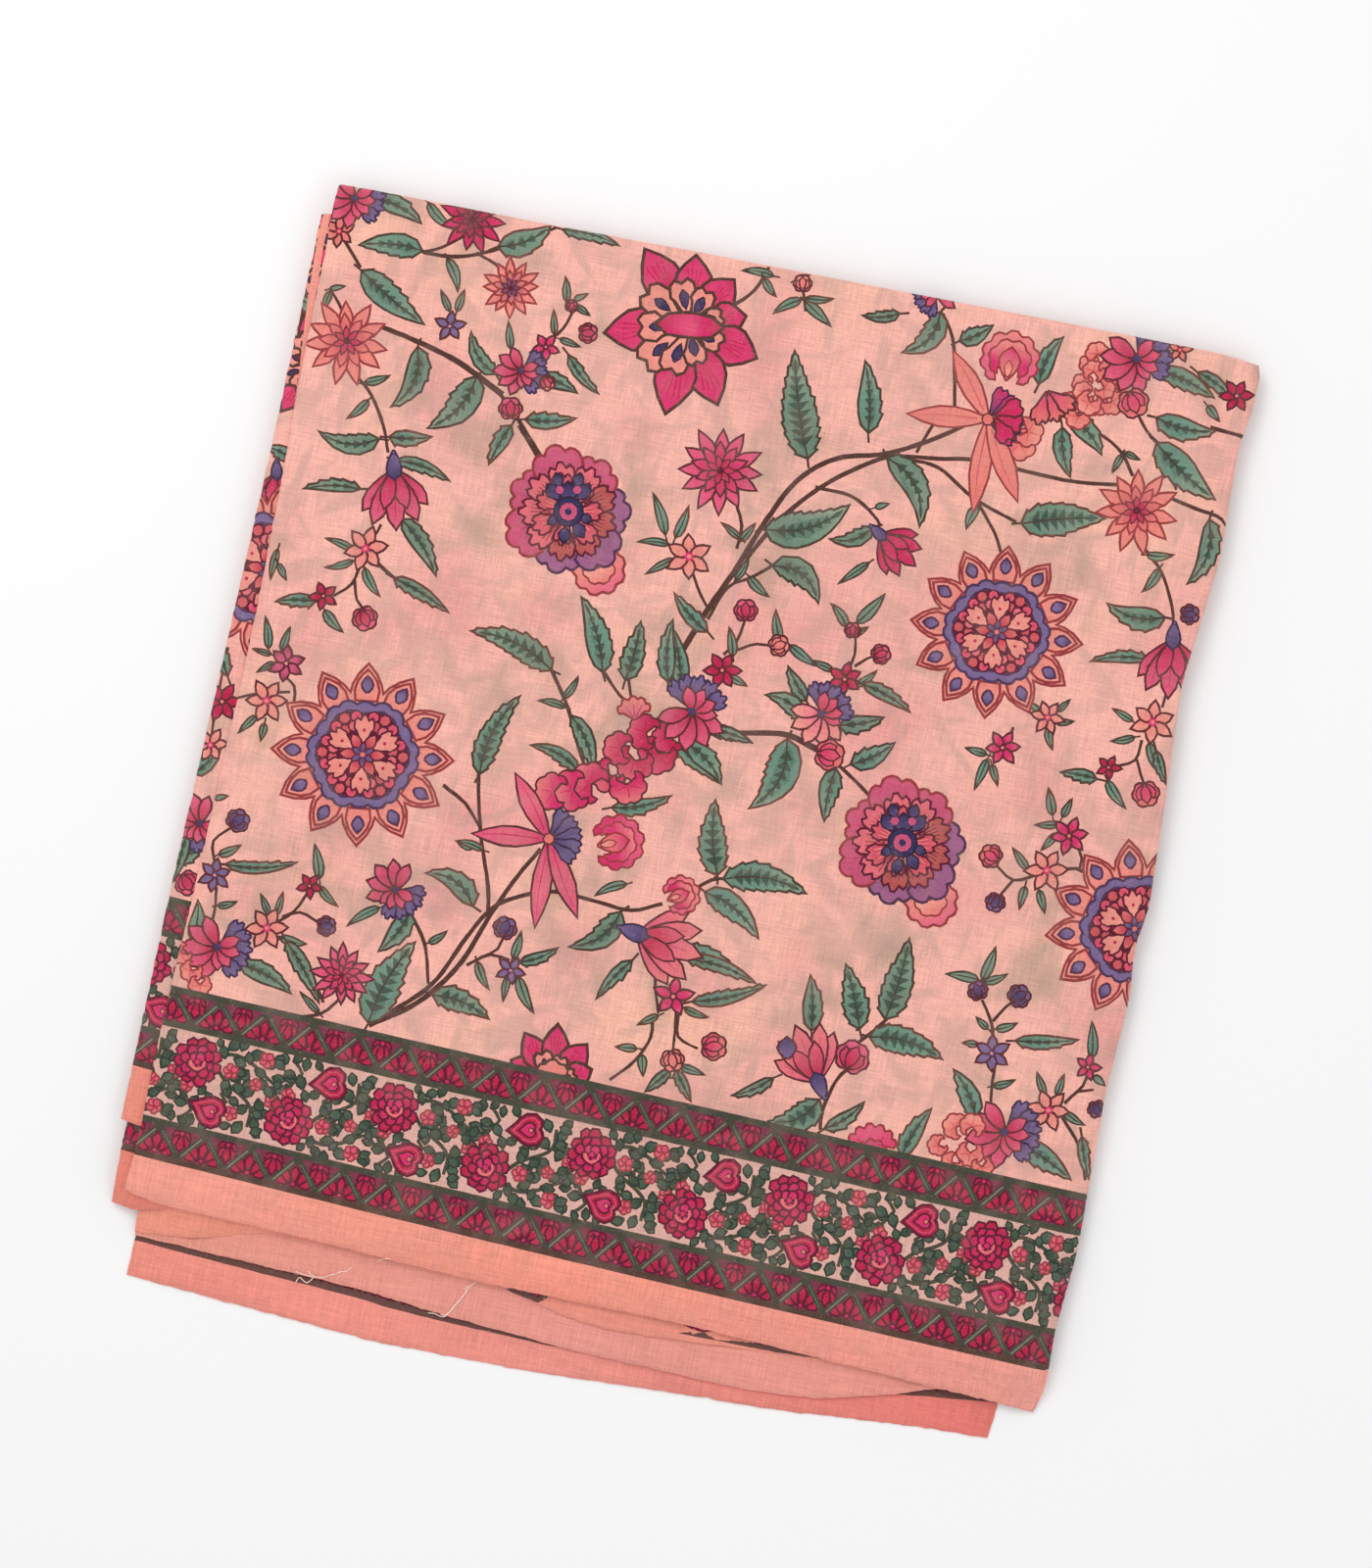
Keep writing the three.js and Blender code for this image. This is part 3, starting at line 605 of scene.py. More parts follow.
LEAVES = [
    # base x, y, tip x, y, width, bend, kind
    (383, 202, 430, 228, 24, -0.12, 1), (437, 206, 464, 234, 13, 0.15, 0), (431, 256, 366, 250, 30, 0.10, 1),
    (369, 276, 433, 331, 36, 0.05, 1), (508, 252, 562, 230, 34, 0.16, 1), (574, 234, 632, 251, 18, -0.10, 1),
    (456, 264, 467, 298, 13, -0.14, 0), (459, 318, 450, 296, 8, 0, 0), (466, 318, 474, 296, 9, 0, 0),
    (337, 297, 330, 316, 9, 0, 0), (337, 295, 352, 292, 6, 0, 0),
    (426, 354, 399, 415, 30, -0.28, 1), (487, 384, 436, 437, 38, -0.20, 1), (506, 382, 481, 338, 20, -0.22, 1),
    (521, 356, 519, 328, 9, 0, 0), (566, 342, 565, 316, 8, 0, 0), (571, 346, 592, 354, 8, 0, 0), (578, 308, 577, 282, 10, 0.05, 0),
    (588, 312, 602, 322, 8, 0, 0), (586, 306, 600, 300, 7, 0, 0),
    (580, 362, 611, 402, 14, 0.10, 1), (549, 384, 589, 401, 20, -0.10, 1), (536, 428, 588, 427, 21, 0.08, 1),
    (522, 434, 499, 474, 20, 0.05, 1), (372, 390, 398, 383, 10, 0.1, 0), (376, 408, 354, 427, 11, -0.1, 0),
    (397, 446, 441, 446, 20, 0.06, 1), (387, 448, 325, 440, 26, -0.24, 1), (404, 470, 459, 491, 16, -0.12, 1),
    (368, 499, 309, 499, 15, 0.10, 1), (410, 530, 445, 588, 24, -0.10, 1), (361, 561, 332, 549, 9, 0.05, 0),
    (361, 572, 331, 579, 9, -0.1, 0), (372, 579, 388, 609, 12, 0.12, 0), (402, 590, 458, 625, 18, -0.05, 1),
    (322, 614, 281, 614, 17, 0.08, 1), (331, 622, 350, 645, 13, 0.1, 0), (274, 662, 271, 629, 10, 0.05, 0),
    (287, 664, 296, 640, 9, 0, 0), (277, 668, 258, 662, 7, 0, 0), (280, 676, 262, 686, 7, 0, 0),
    (262, 730, 243, 748, 9, 0, 0), (270, 738, 266, 756, 9, 0, 0), (284, 560, 276, 592, 9, 0.05, 0), (284, 575, 292, 592, 8, 0, 0),
    (563, 684, 480, 644, 34, 0.16, 2), (489, 790, 531, 710, 30, -0.14, 2), (575, 712, 590, 690, 9, 0.1, 0),
    (577, 722, 549, 715, 9, 0.1, 0), (583, 730, 605, 792, 22, -0.14, 1), (590, 786, 541, 760, 18, 0.16, 1),
    (615, 686, 593, 609, 32, 0.10, 1), (638, 694, 654, 634, 28, 0.05, 2), (695, 703, 687, 642, 24, 0.05, 1),
    (690, 762, 733, 799, 26, -0.12, 1), (718, 742, 766, 758, 16, -0.06, 1), (624, 824, 685, 812, 20, 0.12, 1),
    (640, 902, 607, 914, 11, 0.12, 0), (732, 893, 730, 816, 36, -0.08, 2), (738, 897, 823, 912, 36, -0.16, 2),
    (719, 910, 774, 958, 32, -0.16, 1), (634, 930, 580, 966, 30, -0.26, 1), (645, 980, 608, 1020, 16, 0.06, 1),
    (691, 972, 748, 987, 24, -0.12, 1), (700, 978, 772, 1004, 18, -0.1, 1), (706, 1022, 782, 1005, 18, 0.08, 1),
    (698, 1028, 723, 1038, 9, 0.1, 0), (672, 1036, 650, 1046, 9, 0, 0),
    (483, 925, 434, 891, 28, 0.30, 1), (419, 930, 386, 971, 26, -0.10, 1), (388, 926, 354, 945, 11, 0.08, 0),
    (326, 897, 321, 861, 13, 0.05, 0), (326, 904, 345, 925, 10, 0.1, 0), (482, 866, 467, 860, 8, 0, 0), (494, 868, 465, 858, 9, 0.1, 0),
    (275, 934, 266, 912, 8, 0, 0), (282, 934, 289, 910, 8, 0, 0), (286, 956, 313, 963, 12, 0.1, 0),
    (292, 960, 326, 1024, 20, -0.05, 1), (376, 1044, 424, 961, 46, -0.10, 2), (441, 1015, 499, 1040, 30, -0.14, 2),
    (437, 962, 456, 950, 9, 0.1, 0), (487, 981, 499, 1010, 11, 0.1, 0),
    (523, 978, 532, 950, 11, 0.05, 0), (530, 982, 570, 967, 14, 0.1, 1), (529, 996, 545, 1034, 14, 0.1, 0), (518, 996, 513, 1022, 9, 0, 0),
    (230, 882, 304, 880, 15, 0.10, 1), (223, 872, 246, 862, 11, 0.1, 0), (196, 960, 202, 918, 20, 0.10, 0),
    (244, 984, 297, 1014, 26, -0.12, 1), (222, 924, 242, 920, 8, 0.1, 0), (219, 815, 233, 812, 7, 0, 0),
    (326, 1034, 306, 1012, 8, 0, 0),
    (790, 282, 757, 276, 10, 0.1, 0), (780, 284, 792, 303, 10, 0.1, 0), (818, 306, 789, 320, 12, 0.1, 0),
    (821, 307, 848, 333, 14, 0, 0), (822, 304, 851, 305, 9, 0.1, 0), (812, 286, 826, 280, 7, 0, 0),
    (824, 468, 811, 357, 46, -0.04, 2), (886, 442, 883, 368, 30, 0.06, 1), (756, 550, 736, 533, 8, 0, 0), (756, 552, 771, 534, 9, 0, 0),
    (679, 546, 666, 503, 13, 0.06, 0), (689, 549, 703, 516, 12, 0.05, 0), (683, 556, 650, 553, 9, 0.1, 0), (688, 570, 658, 586, 9, 0, 0),
    (780, 540, 867, 515, 46, 0.20, 1), (905, 467, 938, 538, 34, -0.30, 1), (891, 538, 846, 550, 20, -0.25, 1),
    (887, 574, 855, 596, 10, 0, 0), (893, 518, 907, 514, 7, 0, 0), (1042, 534, 1128, 529, 44, -0.04, 2),
    (998, 516, 986, 540, 12, 0.1, 0), (1060, 392, 1085, 344, 24, -0.14, 1), (1185, 378, 1239, 406, 26, -0.06, 1),
    (1180, 426, 1241, 440, 30, 0.14, 1), (1180, 452, 1240, 510, 40, 0.06, 1), (1084, 436, 1092, 487, 24, 0.1, 1),
    (1090, 424, 1124, 464, 28, -0.14, 1), (1145, 464, 1135, 482, 8, 0, 0), (1148, 462, 1163, 469, 7, 0, 0),
    (1170, 566, 1198, 566, 11, 0.12, 0), (1183, 580, 1165, 604, 12, -0.12, 0), (1234, 530, 1211, 596, 26, -0.24, 1),
    (1189, 630, 1130, 616, 30, -0.20, 1), (1171, 673, 1112, 675, 15, 0.10, 1), (1232, 414, 1244, 430, 11, 0, 0), (1222, 380, 1260, 410, 16, -0.1, 1),
    (979, 348, 1013, 332, 22, 0.10, 1), (918, 320, 880, 322, 14, -0.12, 1), (960, 318, 920, 360, 30, -0.30, 1),
    (722, 645, 688, 605, 20, -0.08, 1), (682, 696, 687, 632, 22, -0.10, 1), (788, 577, 835, 616, 34, -0.34, 1),
    (764, 588, 785, 609, 12, 0.1, 0), (750, 592, 764, 568, 8, 0.1, 0), (797, 655, 792, 622, 12, -0.1, 0), (806, 658, 834, 680, 12, 0.05, 0),
    (748, 670, 744, 640, 12, 0.05, 0), (744, 690, 762, 700, 10, 0, 0), (864, 640, 848, 616, 12, 0.1, 0), (874, 636, 903, 606, 15, 0.05, 0),
    (872, 648, 886, 640, 7, 0, 0), (850, 684, 828, 674, 9, 0, 0), (872, 700, 895, 684, 9, 0.1, 0), (728, 712, 738, 722, 7, 0, 0),
    (823, 715, 804, 680, 18, -0.05, 1), (820, 734, 781, 709, 24, 0.22, 1), (880, 698, 929, 727, 18, -0.08, 1),
    (856, 740, 902, 732, 22, 0.08, 1), (727, 744, 768, 758, 15, -0.06, 1), (803, 754, 764, 825, 44, -0.26, 1),
    (868, 780, 913, 758, 26, 0.10, 1), (853, 784, 841, 838, 26, 0.06, 1), (700, 758, 736, 800, 28, -0.14, 1),
    (1007, 770, 985, 763, 9, 0, 0), (1008, 774, 994, 806, 11, 0, 0), (1012, 780, 1018, 802, 9, 0, 0), (1078, 738, 1096, 736, 8, 0, 0),
    (1070, 742, 1074, 765, 10, 0.1, 0), (1060, 726, 1050, 716, 7, 0, 0), (1079, 726, 1092, 714, 7, 0, 0),
    (1156, 736, 1135, 723, 9, 0, 0), (1158, 752, 1133, 756, 9, -0.1, 0), (1173, 757, 1185, 791, 12, 0.1, 0),
    (1119, 795, 1082, 788, 16, 0.05, 1), (1130, 796, 1149, 825, 13, 0.1, 0), (1180, 766, 1190, 800, 12, 0.05, 1),
    (1074, 832, 1070, 804, 12, 0, 0), (1084, 834, 1094, 815, 9, 0, 0), (1079, 842, 1056, 842, 9, 0, 0), (1079, 850, 1062, 868, 9, 0, 0),
    (1049, 888, 1033, 865, 10, 0, 0), (1046, 904, 1040, 928, 10, 0, 0), (1060, 908, 1066, 932, 10, 0, 0),
    (828, 1052, 827, 995, 26, 0.05, 1), (877, 1050, 863, 984, 32, 0.04, 2), (903, 1040, 928, 957, 38, 0.05, 2),
    (887, 1058, 962, 1081, 36, -0.14, 2), (999, 1000, 965, 994, 12, 0.05, 0), (1002, 1000, 1016, 966, 13, 0.05, 0), (1004, 1002, 1028, 994, 10, 0.1, 0),
    (1008, 1050, 996, 1038, 8, 0, 0), (1016, 1050, 1038, 1044, 10, 0.1, 0), (998, 1066, 982, 1064, 8, 0, 0),
    (1036, 1062, 1101, 1061, 18, 0.05, 1), (1013, 1108, 1036, 1102, 9, 0.1, 0), (996, 1140, 973, 1091, 26, 0.10, 1),
    (1038, 1166, 1093, 1204, 30, -0.06, 1), (836, 1122, 784, 1144, 36, -0.28, 2), (789, 1100, 746, 1118, 14, -0.10, 1),
    (841, 1152, 882, 1124, 18, 0.12, 1), (920, 1180, 951, 1131, 24, -0.08, 1), (1066, 1118, 1058, 1094, 9, 0, 0),
    (1078, 1118, 1086, 1096, 9, 0, 0), (1086, 1134, 1107, 1148, 10, 0.1, 0), (1114, 1080, 1114, 1042, 13, 0.05, 0), (1116, 1098, 1128, 1108, 9, 0, 0),
    (1104, 1160, 1112, 1204, 15, 0.05, 1), (684, 1092, 658, 1114, 14, 0, 1), (690, 1092, 705, 1124, 14, 0, 1), (694, 1088, 719, 1097, 10, 0, 0),
    (650, 1070, 628, 1068, 10, 0, 0), (655, 1076, 656, 1098, 11, 0, 0),
]
GHOSTS_SEED = 11


def field(pr):
    """All stems, leaves and flowers between the long fold and the border."""
    for w0, w1, pts in STEMS:
        pr.stroke(pts, w0 * 1.1 + 0.6, w1 * 1.1 + 0.6, BARK)
    for row in LEAVES:
        leaf(pr, *row)
    for cx, cy, r, rot in ((370, 770, 93, 4), (1017, 645, 88, 8), (1158, 948, 91, -4)):
        mandala(pr, cx, cy, r, rot)
    peony(pr, 580, 522, 66, 0)
    peony(pr, 921, 860, 66, 2)
    lotus(pr, 703, 332, 82, 8)
    lotus(pr, 563, 1106, 60, 0, half=True)
    for row in (
        (354, 348, 44, 10, "peach", 11), (521, 294, 30, 0, "dark", 12), (482, 224, 34, 5, "crimson", 11), (735, 480, 45, 3, "magenta", 12),
        (1160, 521, 43, 12, "peach", 11), (349, 995, 32, 6, "magenta", 12),
    ):
        dahlia(pr, *row)
    for row in (
        (373, 560, 23, -70, "peach", 6), (272, 715, 22, -60, "peach", 6), (292, 677, 19, -80, "plum", 6), (330, 608, 15, -40, "crimson", 5),
        (459, 333, 16, -85, "violet", 5), (557, 354, 15, 20, "magenta", 5), (703, 568, 24, -88, "peach", 6), (737, 684, 19, -60, "crimson", 6),
        (862, 693, 18, -80, "crimson", 6), (1023, 763, 18, -60, "magenta", 6), (1069, 732, 17, -50, "peach", 6), (1176, 737, 23, -80, "peach", 6),
        (1131, 783, 13, 10, "crimson", 5), (1091, 853, 19, -70, "magenta", 6), (1068, 888, 22, -60, "peach", 6), (272, 947, 22, -60, "peach", 6),
        (316, 904, 13, 20, "crimson", 5), (219, 893, 17, -80, "violet", 6), (687, 1017, 21, -80, "magenta", 5), (1012, 1075, 19, -85, "violet", 6),
        (1070, 1133, 22, -50, "peach", 6), (1110, 1089, 14, 0, "magenta", 5), (1204, 357, 13, -80, "rose", 5), (521, 990, 15, -60, "violet", 5),
        (1262, 404, 17, 0, "crimson", 6), (346, 236, 17, -20, "rose", 6),
    ):
        star(pr, *row)
    # magenta and peach sprays, from a violet blossom to a long-petalled one
    puffs(pr, [(684, 752, 160), (672, 768, 120), (660, 748, 200), (648, 776, 110), (634, 764, 190), (622, 790, 140), (604, 800, 210), (640, 800, 80), (586, 806, 170), (566, 808, 190)], 25, "magenta")
    iris(pr, 706, 726, 62, -60)
    ruffle(pr, 648, 736, -95, 2, 26, 60, 5, PINK, PEACH, 1.9, BRICK, veins=3)
    orchid(pr, 560, 856, 84, 0, "magenta")
    rosebud(pr, 627, 860, 31, -10, "pink")
    puffs(pr, [(1092, 410, 150), (1106, 392, 200), (1120, 412, 90), (1112, 372, 240), (1130, 388, 330), (1142, 368, 280), (1134, 410, 40), (1100, 424, 110), (1148, 392, 20), (1120, 362, 260), (1106, 400, 200), (1126, 396, 20), (1116, 380, 280), (1132, 378, 330), (1112, 410, 120)], 20, "peach")
    puffs(pr, [(1040, 452, 60), (1048, 440, 20)], 30, "peach")
    for d, r in ((70, 30), (105, 32), (35, 30)):
        ruffle(pr, 1068, 398, d, 2, r * 1.15, 22, 3, MAGENTA, ROSE, 1.9, LINE)
    iris(pr, 1160, 366, 60, -10)
    orchid(pr, 1008, 428, 88, 0, "peach")
    for d in (200, 240, 160):
        ruffle(pr, 1014, 424, d - 180, 1, 32, 26, 2, CRIMSON, MAGENTA, 1.8, LINE)
    rosebud(pr, 1030, 370, 33, -80, "peach")
    bud(pr, 1156, 410, 17, 70, "pink")
    # hanging bells
    bell(pr, 403, 503, 60, 88, "magenta")
    bell(pr, 676, 962, 68, 20, "peach")
    bell(pr, 1195, 676, 58, 95, "magenta")
    bell(pr, 912, 558, 46, 42, "crimson")
    # blossoms with violet scallops
    iris(pr, 532, 378, 44, 20)
    iris(pr, 838, 728, 54, -40, "peach")
    iris(pr, 404, 908, 50, 70)
    iris(pr, 1025, 1155, 62, 10)
    iris(pr, 222, 966, 58, 20)
    iris(pr, 362, 202, 52, 10)
    iris(pr, 956, 300, 40, 170)
    bell(pr, 826, 1082, 60, -112, "peach")
    petal(pr, 803, 1082, -90, 2, 24, 20, VIOLET, INDIGO, 1.8)
    puffs(pr, [(186, 972, 150), (196, 990, 120), (204, 1004, 90)], 20, "peach")
    puffs(pr, [(958, 1168, 160), (976, 1150, 220), (990, 1176, 100), (972, 1186, 140), (992, 1150, 280), (1002, 1190, 80)], 21, "peach")
    ruffle(pr, 890, 1180, -95, 3, 34, 75, 7, MAGENTA, PINK, 1.9, BRICK, veins=3)
    ruffle(pr, 890, 1184, -95, 3, 22, 70, 5, CRIMSON, MAUVE, 1.6, BRICK)
    rosebud(pr, 693, 914, 22, -20, "peach")
    bud(pr, 869, 1080, 19, -60, "crimson")
    for row in (
        (521, 418, 13, -90, "crimson"), (372, 630, 14, 70, "crimson"), (583, 313, 7, -60, "crimson"), (599, 340, 11, 0, "crimson"),
        (819, 290, 10, -90, "peach"), (761, 624, 13, -90, "crimson"), (794, 659, 12, -20, "peach"), (870, 644, 9, -90, "crimson"),
        (898, 668, 11, -20, "crimson"), (845, 770, 17, 10, "pink"), (1169, 809, 15, 80, "pink"), (1012, 874, 13, -150, "pink"),
        (1016, 920, 11, 110, "violet"), (332, 945, 11, 0, "violet"), (515, 948, 13, -70, "violet"), (242, 838, 13, -40, "violet"),
        (727, 1068, 15, 0, "pink"), (686, 1081, 13, 80, "peach"), (998, 1012, 11, -110, "violet"), (1039, 1017, 13, -30, "violet"),
        (1119, 1131, 10, 80, "blue"), (1213, 627, 11, 0, "violet"), (558, 390, 9, 60, "pink"), 
    ):
        bud(pr, *row)


# ---- the border, in millimetres along it and down across it ----------------
BAND_LEFT = ((0.0, -142.3), (93.0, -234.8))
BAND_RIGHT = ((0.0, -148.4), (93.0, -245.4))


def band(p, shift=0.0):
    w = p[:, 1]
    k = [r[0] for r in BAND_LEFT]
    slope_l = (BAND_LEFT[-1][1] - BAND_LEFT[-2][1]) / (k[-1] - k[-2])
    slope_r = (BAND_RIGHT[-1][1] - BAND_RIGHT[-2][1]) / (k[-1] - k[-2])
    yl = np.interp(w, k, [r[1] for r in BAND_LEFT]) + np.maximum(0, w - k[-1]) * slope_l - np.minimum(0, w)
    yr = np.interp(w, k, [r[1] for r in BAND_RIGHT]) + np.maximum(0, w - k[-1]) * slope_r - np.minimum(0, w)
    t = (p[:, 0] + 250.0) / 504.0
    sag = -3.0 * np.sin(np.clip(t, 0, 1) * math.pi) * (w / 93.0) * 0.5
    return np.column_stack((p[:, 0], yl + (yr - yl) * t + sag + shift))


def long_strip(pr, w0, w1, x0, x1, colours, step=6.0):
    n = int((x1 - x0) / step)
    xs = np.linspace(x0, x1, n)
    top = [(x, w0) for x in xs]
    bottom = [(x, w1) for x in xs[::-1]]
    if len(colours) == 1:
        pr.add(top + bottom, colours[0])
    else:
        pr.add(top + bottom, *colours, (x0, w0), (x1, w0), 1)


def triangle_band(pr, w0, w1, x0, x1, phase):
    period = 25.4
    long_strip(pr, w0, w1, x0, x1, (ink(124, 48, 70),), 4.0)
    k = math.floor((x0 - phase) / period) - 1
    tall = w1 - w0
    while phase + k * period < x1 + period:
        s = phase + k * period
        # petals in the triangle that stands on the lower line, then in the one that hangs
        for base, way in ((s, -1), (s + period / 2, 1)):
            y0 = w1 - 0.6 if way < 0 else w0 + 0.6
            for d, r in ((-66, 0.52), (66, 0.52), (-33, 0.66), (33, 0.66), (0, 0.72)):
                a = (-90 if way < 0 else 90) + d
                r *= tall
                pts = petal_points(base + d * 0.035, y0, a, tall * 0.1, r, 4.7, 0.72, 0.42, 3)
                ends = fan(base, y0, a, [(0, 0), (0, r)])
                pr.shape(pts, CLARET, CRIMSON, CRIMSON, ends[0], ends[1], 1, 0.9, CLARET)
            dot(pr, base, y0 + way * 1.2, 1.5, mix(CRIMSON, MAGENTA, 0.5), 0.6, CLARET, 6)
        k += 1
    k = math.floor((x0 - phase) / period) - 1
    while phase + k * period < x1 + period:
        s = phase + k * period
        a, b, c = (s - period / 2, w1), (s, w0), (s + period / 2, w1)
        for p, q in ((a, b), (b, c)):
            m = ((p[0] + q[0]) / 2 + pr.rng.uniform(-0.3, 0.3), (p[1] + q[1]) / 2)
            pr.stroke([p, m, q], 3.1, 3.1, BAND_GREEN, 4)
        pr.stroke([(a[0] * 0.9 + b[0] * 0.1 + 0.2, a[1] * 0.9 + b[1] * 0.1), (a[0] * 0.15 + b[0] * 0.85, a[1] * 0.15 + b[1] * 0.85)], 0.9, 0.9, mix(BAND_GREY, ink(196, 160, 150), 0.25))
        pr.stroke([(b[0] * 0.85 + c[0] * 0.15, b[1] * 0.85 + c[1] * 0.15), (b[0] * 0.2 + c[0] * 0.8, b[1] * 0.2 + c[1] * 0.8)], 0.7, 0.7, BAND_GREY)
        k += 1


def rosette(pr, x, w, r, rot):
    """Many small rounded petals in three uneven rings, a pale curl in the middle."""
    for count, at, size, c in ((11, 0.78, 0.27, CRIMSON), (8, 0.5, 0.25, mix(CRIMSON, MAGENTA, 0.35)), (5, 0.24, 0.22, MAGENTA)):
        for i in range(count):
            a = rot + 360.0 * i / count + pr.rng.uniform(-6, 6)
            px, py = fan(x, w, a, [(0, r * at * pr.rng.uniform(0.92, 1.05))])[0]
            dot(pr, px, py, r * size, mix(c, MAGENTA, 0.35 * pr.rng.random()), 0.95, CLARET, 6)
    arc = fan(x, w, rot, [(d, r * 0.3) for d in (-30, 20, 70, 120, 170)])
    pr.stroke(arc, 0.9, 1.6, ROSE, 1.6)
    dot(pr, x, w, r * 0.14, MAGENTA, 0.5, CLARET, 6)


def heart(pr, x, w, size, rot):
    pts = [(180, 1.12), (150, 0.74), (122, 0.72), (95, 0.78), (62, 0.86), (32, 0.84), (12, 0.7), (0, 0.56), (-12, 0.7), (-32, 0.84), (-62, 0.86), (-95, 0.78), (-122, 0.72), (-150, 0.74)]
    for scale, colour, edge, line in ((1.0, mix(CRIMSON, CLARET, 0.2), CLARET, 1.2), (0.74, CRIMSON, mix(CRIMSON, PINK, 0.5), 0.7), (0.46, MAGENTA, CLARET, 0.8)):
        pr.shape(fan(x, w, rot, [(d, r * size * scale) for d, r in pts]), colour, None, None, None, None, 0, line, edge)
    dot(pr, x + size * 0.12, w, size * 0.13, ROSE, 0.4, CLARET, 6)


def blossom(pr, x, w, r, rot):
    for i in range(5):
        a = rot + 72.0 * i
        px, py = fan(x, w, a, [(0, r * 0.55)])[0]
        dot(pr, px, py, r * 0.5, ROSE, 0.75, BRICK, 7, c1=mix(PINK, CRIMSON, 0.3))
    dot(pr, x, w, r * 0.22, CRIMSON, 0.0, n=5)


def sprig_leaf(pr, x, w, angle, size):
    size *= 1.22
    pts = petal_points(x, w, angle, 0, size, size * 0.74, 0.5, 0.6, 3)
    ends = fan(x, w, angle, [(0, 0), (0, size)])
    c = mix(DEEP_GREEN, TEAL, 0.18 * pr.rng.random())
    pr.shape(pts, c, c, mix(c, MOSS, 0.25), ends[0], ends[1], 1, 0.7, ink(44, 54, 44))


SPRIGS = [
    # along, down from the upper rosette's repeat start, angle, size
    (15, 22, -40, 6.2), (19, 26, 20, 6.0), (14, 27, -100, 5.2), (22, 21, -80, 5.6), (27, 24, -30, 6.4), (25, 30, 60, 6.0),
    (31, 29, 10, 6.2), (29, 35, 100, 5.6), (35, 33, 50, 6.2), (37, 27, -50, 6.2), (41, 31, 10, 5.6), (33, 40, 150, 5.6),
    (28, 42, 200, 6.0), (23, 38, 220, 5.6), (36, 44, 80, 5.8), (31, 49, 130, 6.2), (26, 50, 200, 5.6), (35, 54, 60, 6.0),
    (30, 58, 110, 6.0), (24, 61, 160, 5.2), (36, 61, 40, 5.4), (4, 50, 120, 6.0), (-1, 55, 170, 6.0), (3, 60, 90, 5.2),
    (-5, 49, 220, 5.6), (8, 47, 40, 5.4), (-8, 58, 150, 5.4), (-13, 24, 200, 5.4), (-14, 30, 160, 5.8), (45, 24, -80, 5.6),
    (49, 33, 60, 5.6), (44, 37, 110, 5.8), (-11, 42, 140, 5.6), (11, 22, 240, 4.6), (20, 47, 250, 5.4), (16, 44, 300, 5.2),
    (-4, 63, 40, 4.8), (12, 62, 130, 5.0), (40, 22, -20, 5.0), (39, 38, -10, 5.4), (47, 28, 30, 5.4), (38, 50, 10, 5.2),
    (43, 40, 60, 5.2), (27, 33, 190, 5.0), (7, 44, 120, 5.2), (11, 49, 60, 5.0), (-9, 52, 250, 5.0), (28, 27, -120, 5.0),
]
BLOSSOMS = [(36.5, 23, 3.3, 10), (18.5, 33, 3.2, 40), (43, 44, 2.9, 0), (-3, 45, 3.0, 60), (23, 55, 3.0, 20), (33, 37, 2.6, 50)]
VINES = [
    [(12, 34), (18, 40), (26, 44), (33, 50), (33, 60)], [(10, 26), (20, 24), (30, 27), (38, 32), (46, 36)],
    [(-6, 44), (-2, 52), (2, 58), (-4, 64)], [(26, 44), (24, 36), (28, 30)], [(33, 50), (40, 46), (46, 40)],
    [(20, 40), (16, 46), (20, 50)],
]


def border(pr, x0, x1, phase=-224.5):
    long_strip(pr, 0.0, 93.5, x0, x1, (BAND_GREEN,))
    triangle_band(pr, 3.4, 18.9, x0, x1, phase + 6)
    long_strip(pr, 21.8, 71.4, x0, x1, (ink(222, 172, 160),))
    repeat = 108.5
    k = math.floor((x0 - phase) / repeat) - 1
    while phase + k * repeat < x1 + repeat:
        for turned, start in ((False, phase + k * repeat), (True, phase + k * repeat + repeat / 2)):
            flip = (lambda w: 88.4 - w) if turned else (lambda w: w + 4.8)
            sign = -1 if turned else 1
            if start < x0 - 60 or start > x1 + 60:
                continue
            for path in VINES:
                pr.stroke([(start + a, flip(b)) for a, b in path], 2.3, 1.8, VINE, 3.0)
            for a, b, angle, size in SPRIGS:
                sprig_leaf(pr, start + a, flip(b), sign * angle + pr.rng.uniform(-12, 12), size * pr.rng.uniform(0.9, 1.1))
            for a, b, r, rot in BLOSSOMS:
                blossom(pr, start + a, flip(b), r * 1.25, rot)
            heart(pr, start + (18.5 if turned else 12.0), flip(56.4), 10.6, sign * 14)
            rosette(pr, start, flip(32.2), 12.8, 10 * sign)
        k += 1
    long_strip(pr, 18.6, 21.9, x0, x1, (BAND_GREEN,), 3.0)
    long_strip(pr, 71.2, 74.8, x0, x1, (BAND_GREEN,), 3.0)
    triangle_band(pr, 74.6, 90.2, x0, x1, phase + 13)
    long_strip(pr, 90.1, 93.5, x0, x1, (BAND_BROWN,), 3.0)


# ---------------------------------------------------------------------------
# The stretches' outlines and heights, in millimetres
# ---------------------------------------------------------------------------
BASE_WALL, GAP, WALL = 1.2, 0.3, 1.0
HIDDEN_HEIGHT, FLOOR_GAP = 5.4, 0.1
CLOTH = 0.6  # how thick a stretch is made here
CLOSE, SETTLE = 6.0, 19.0
ROLL = 2.3  # radius of the top's rounded folds
TAIL = 4.6  # how far the fold runs back under the top

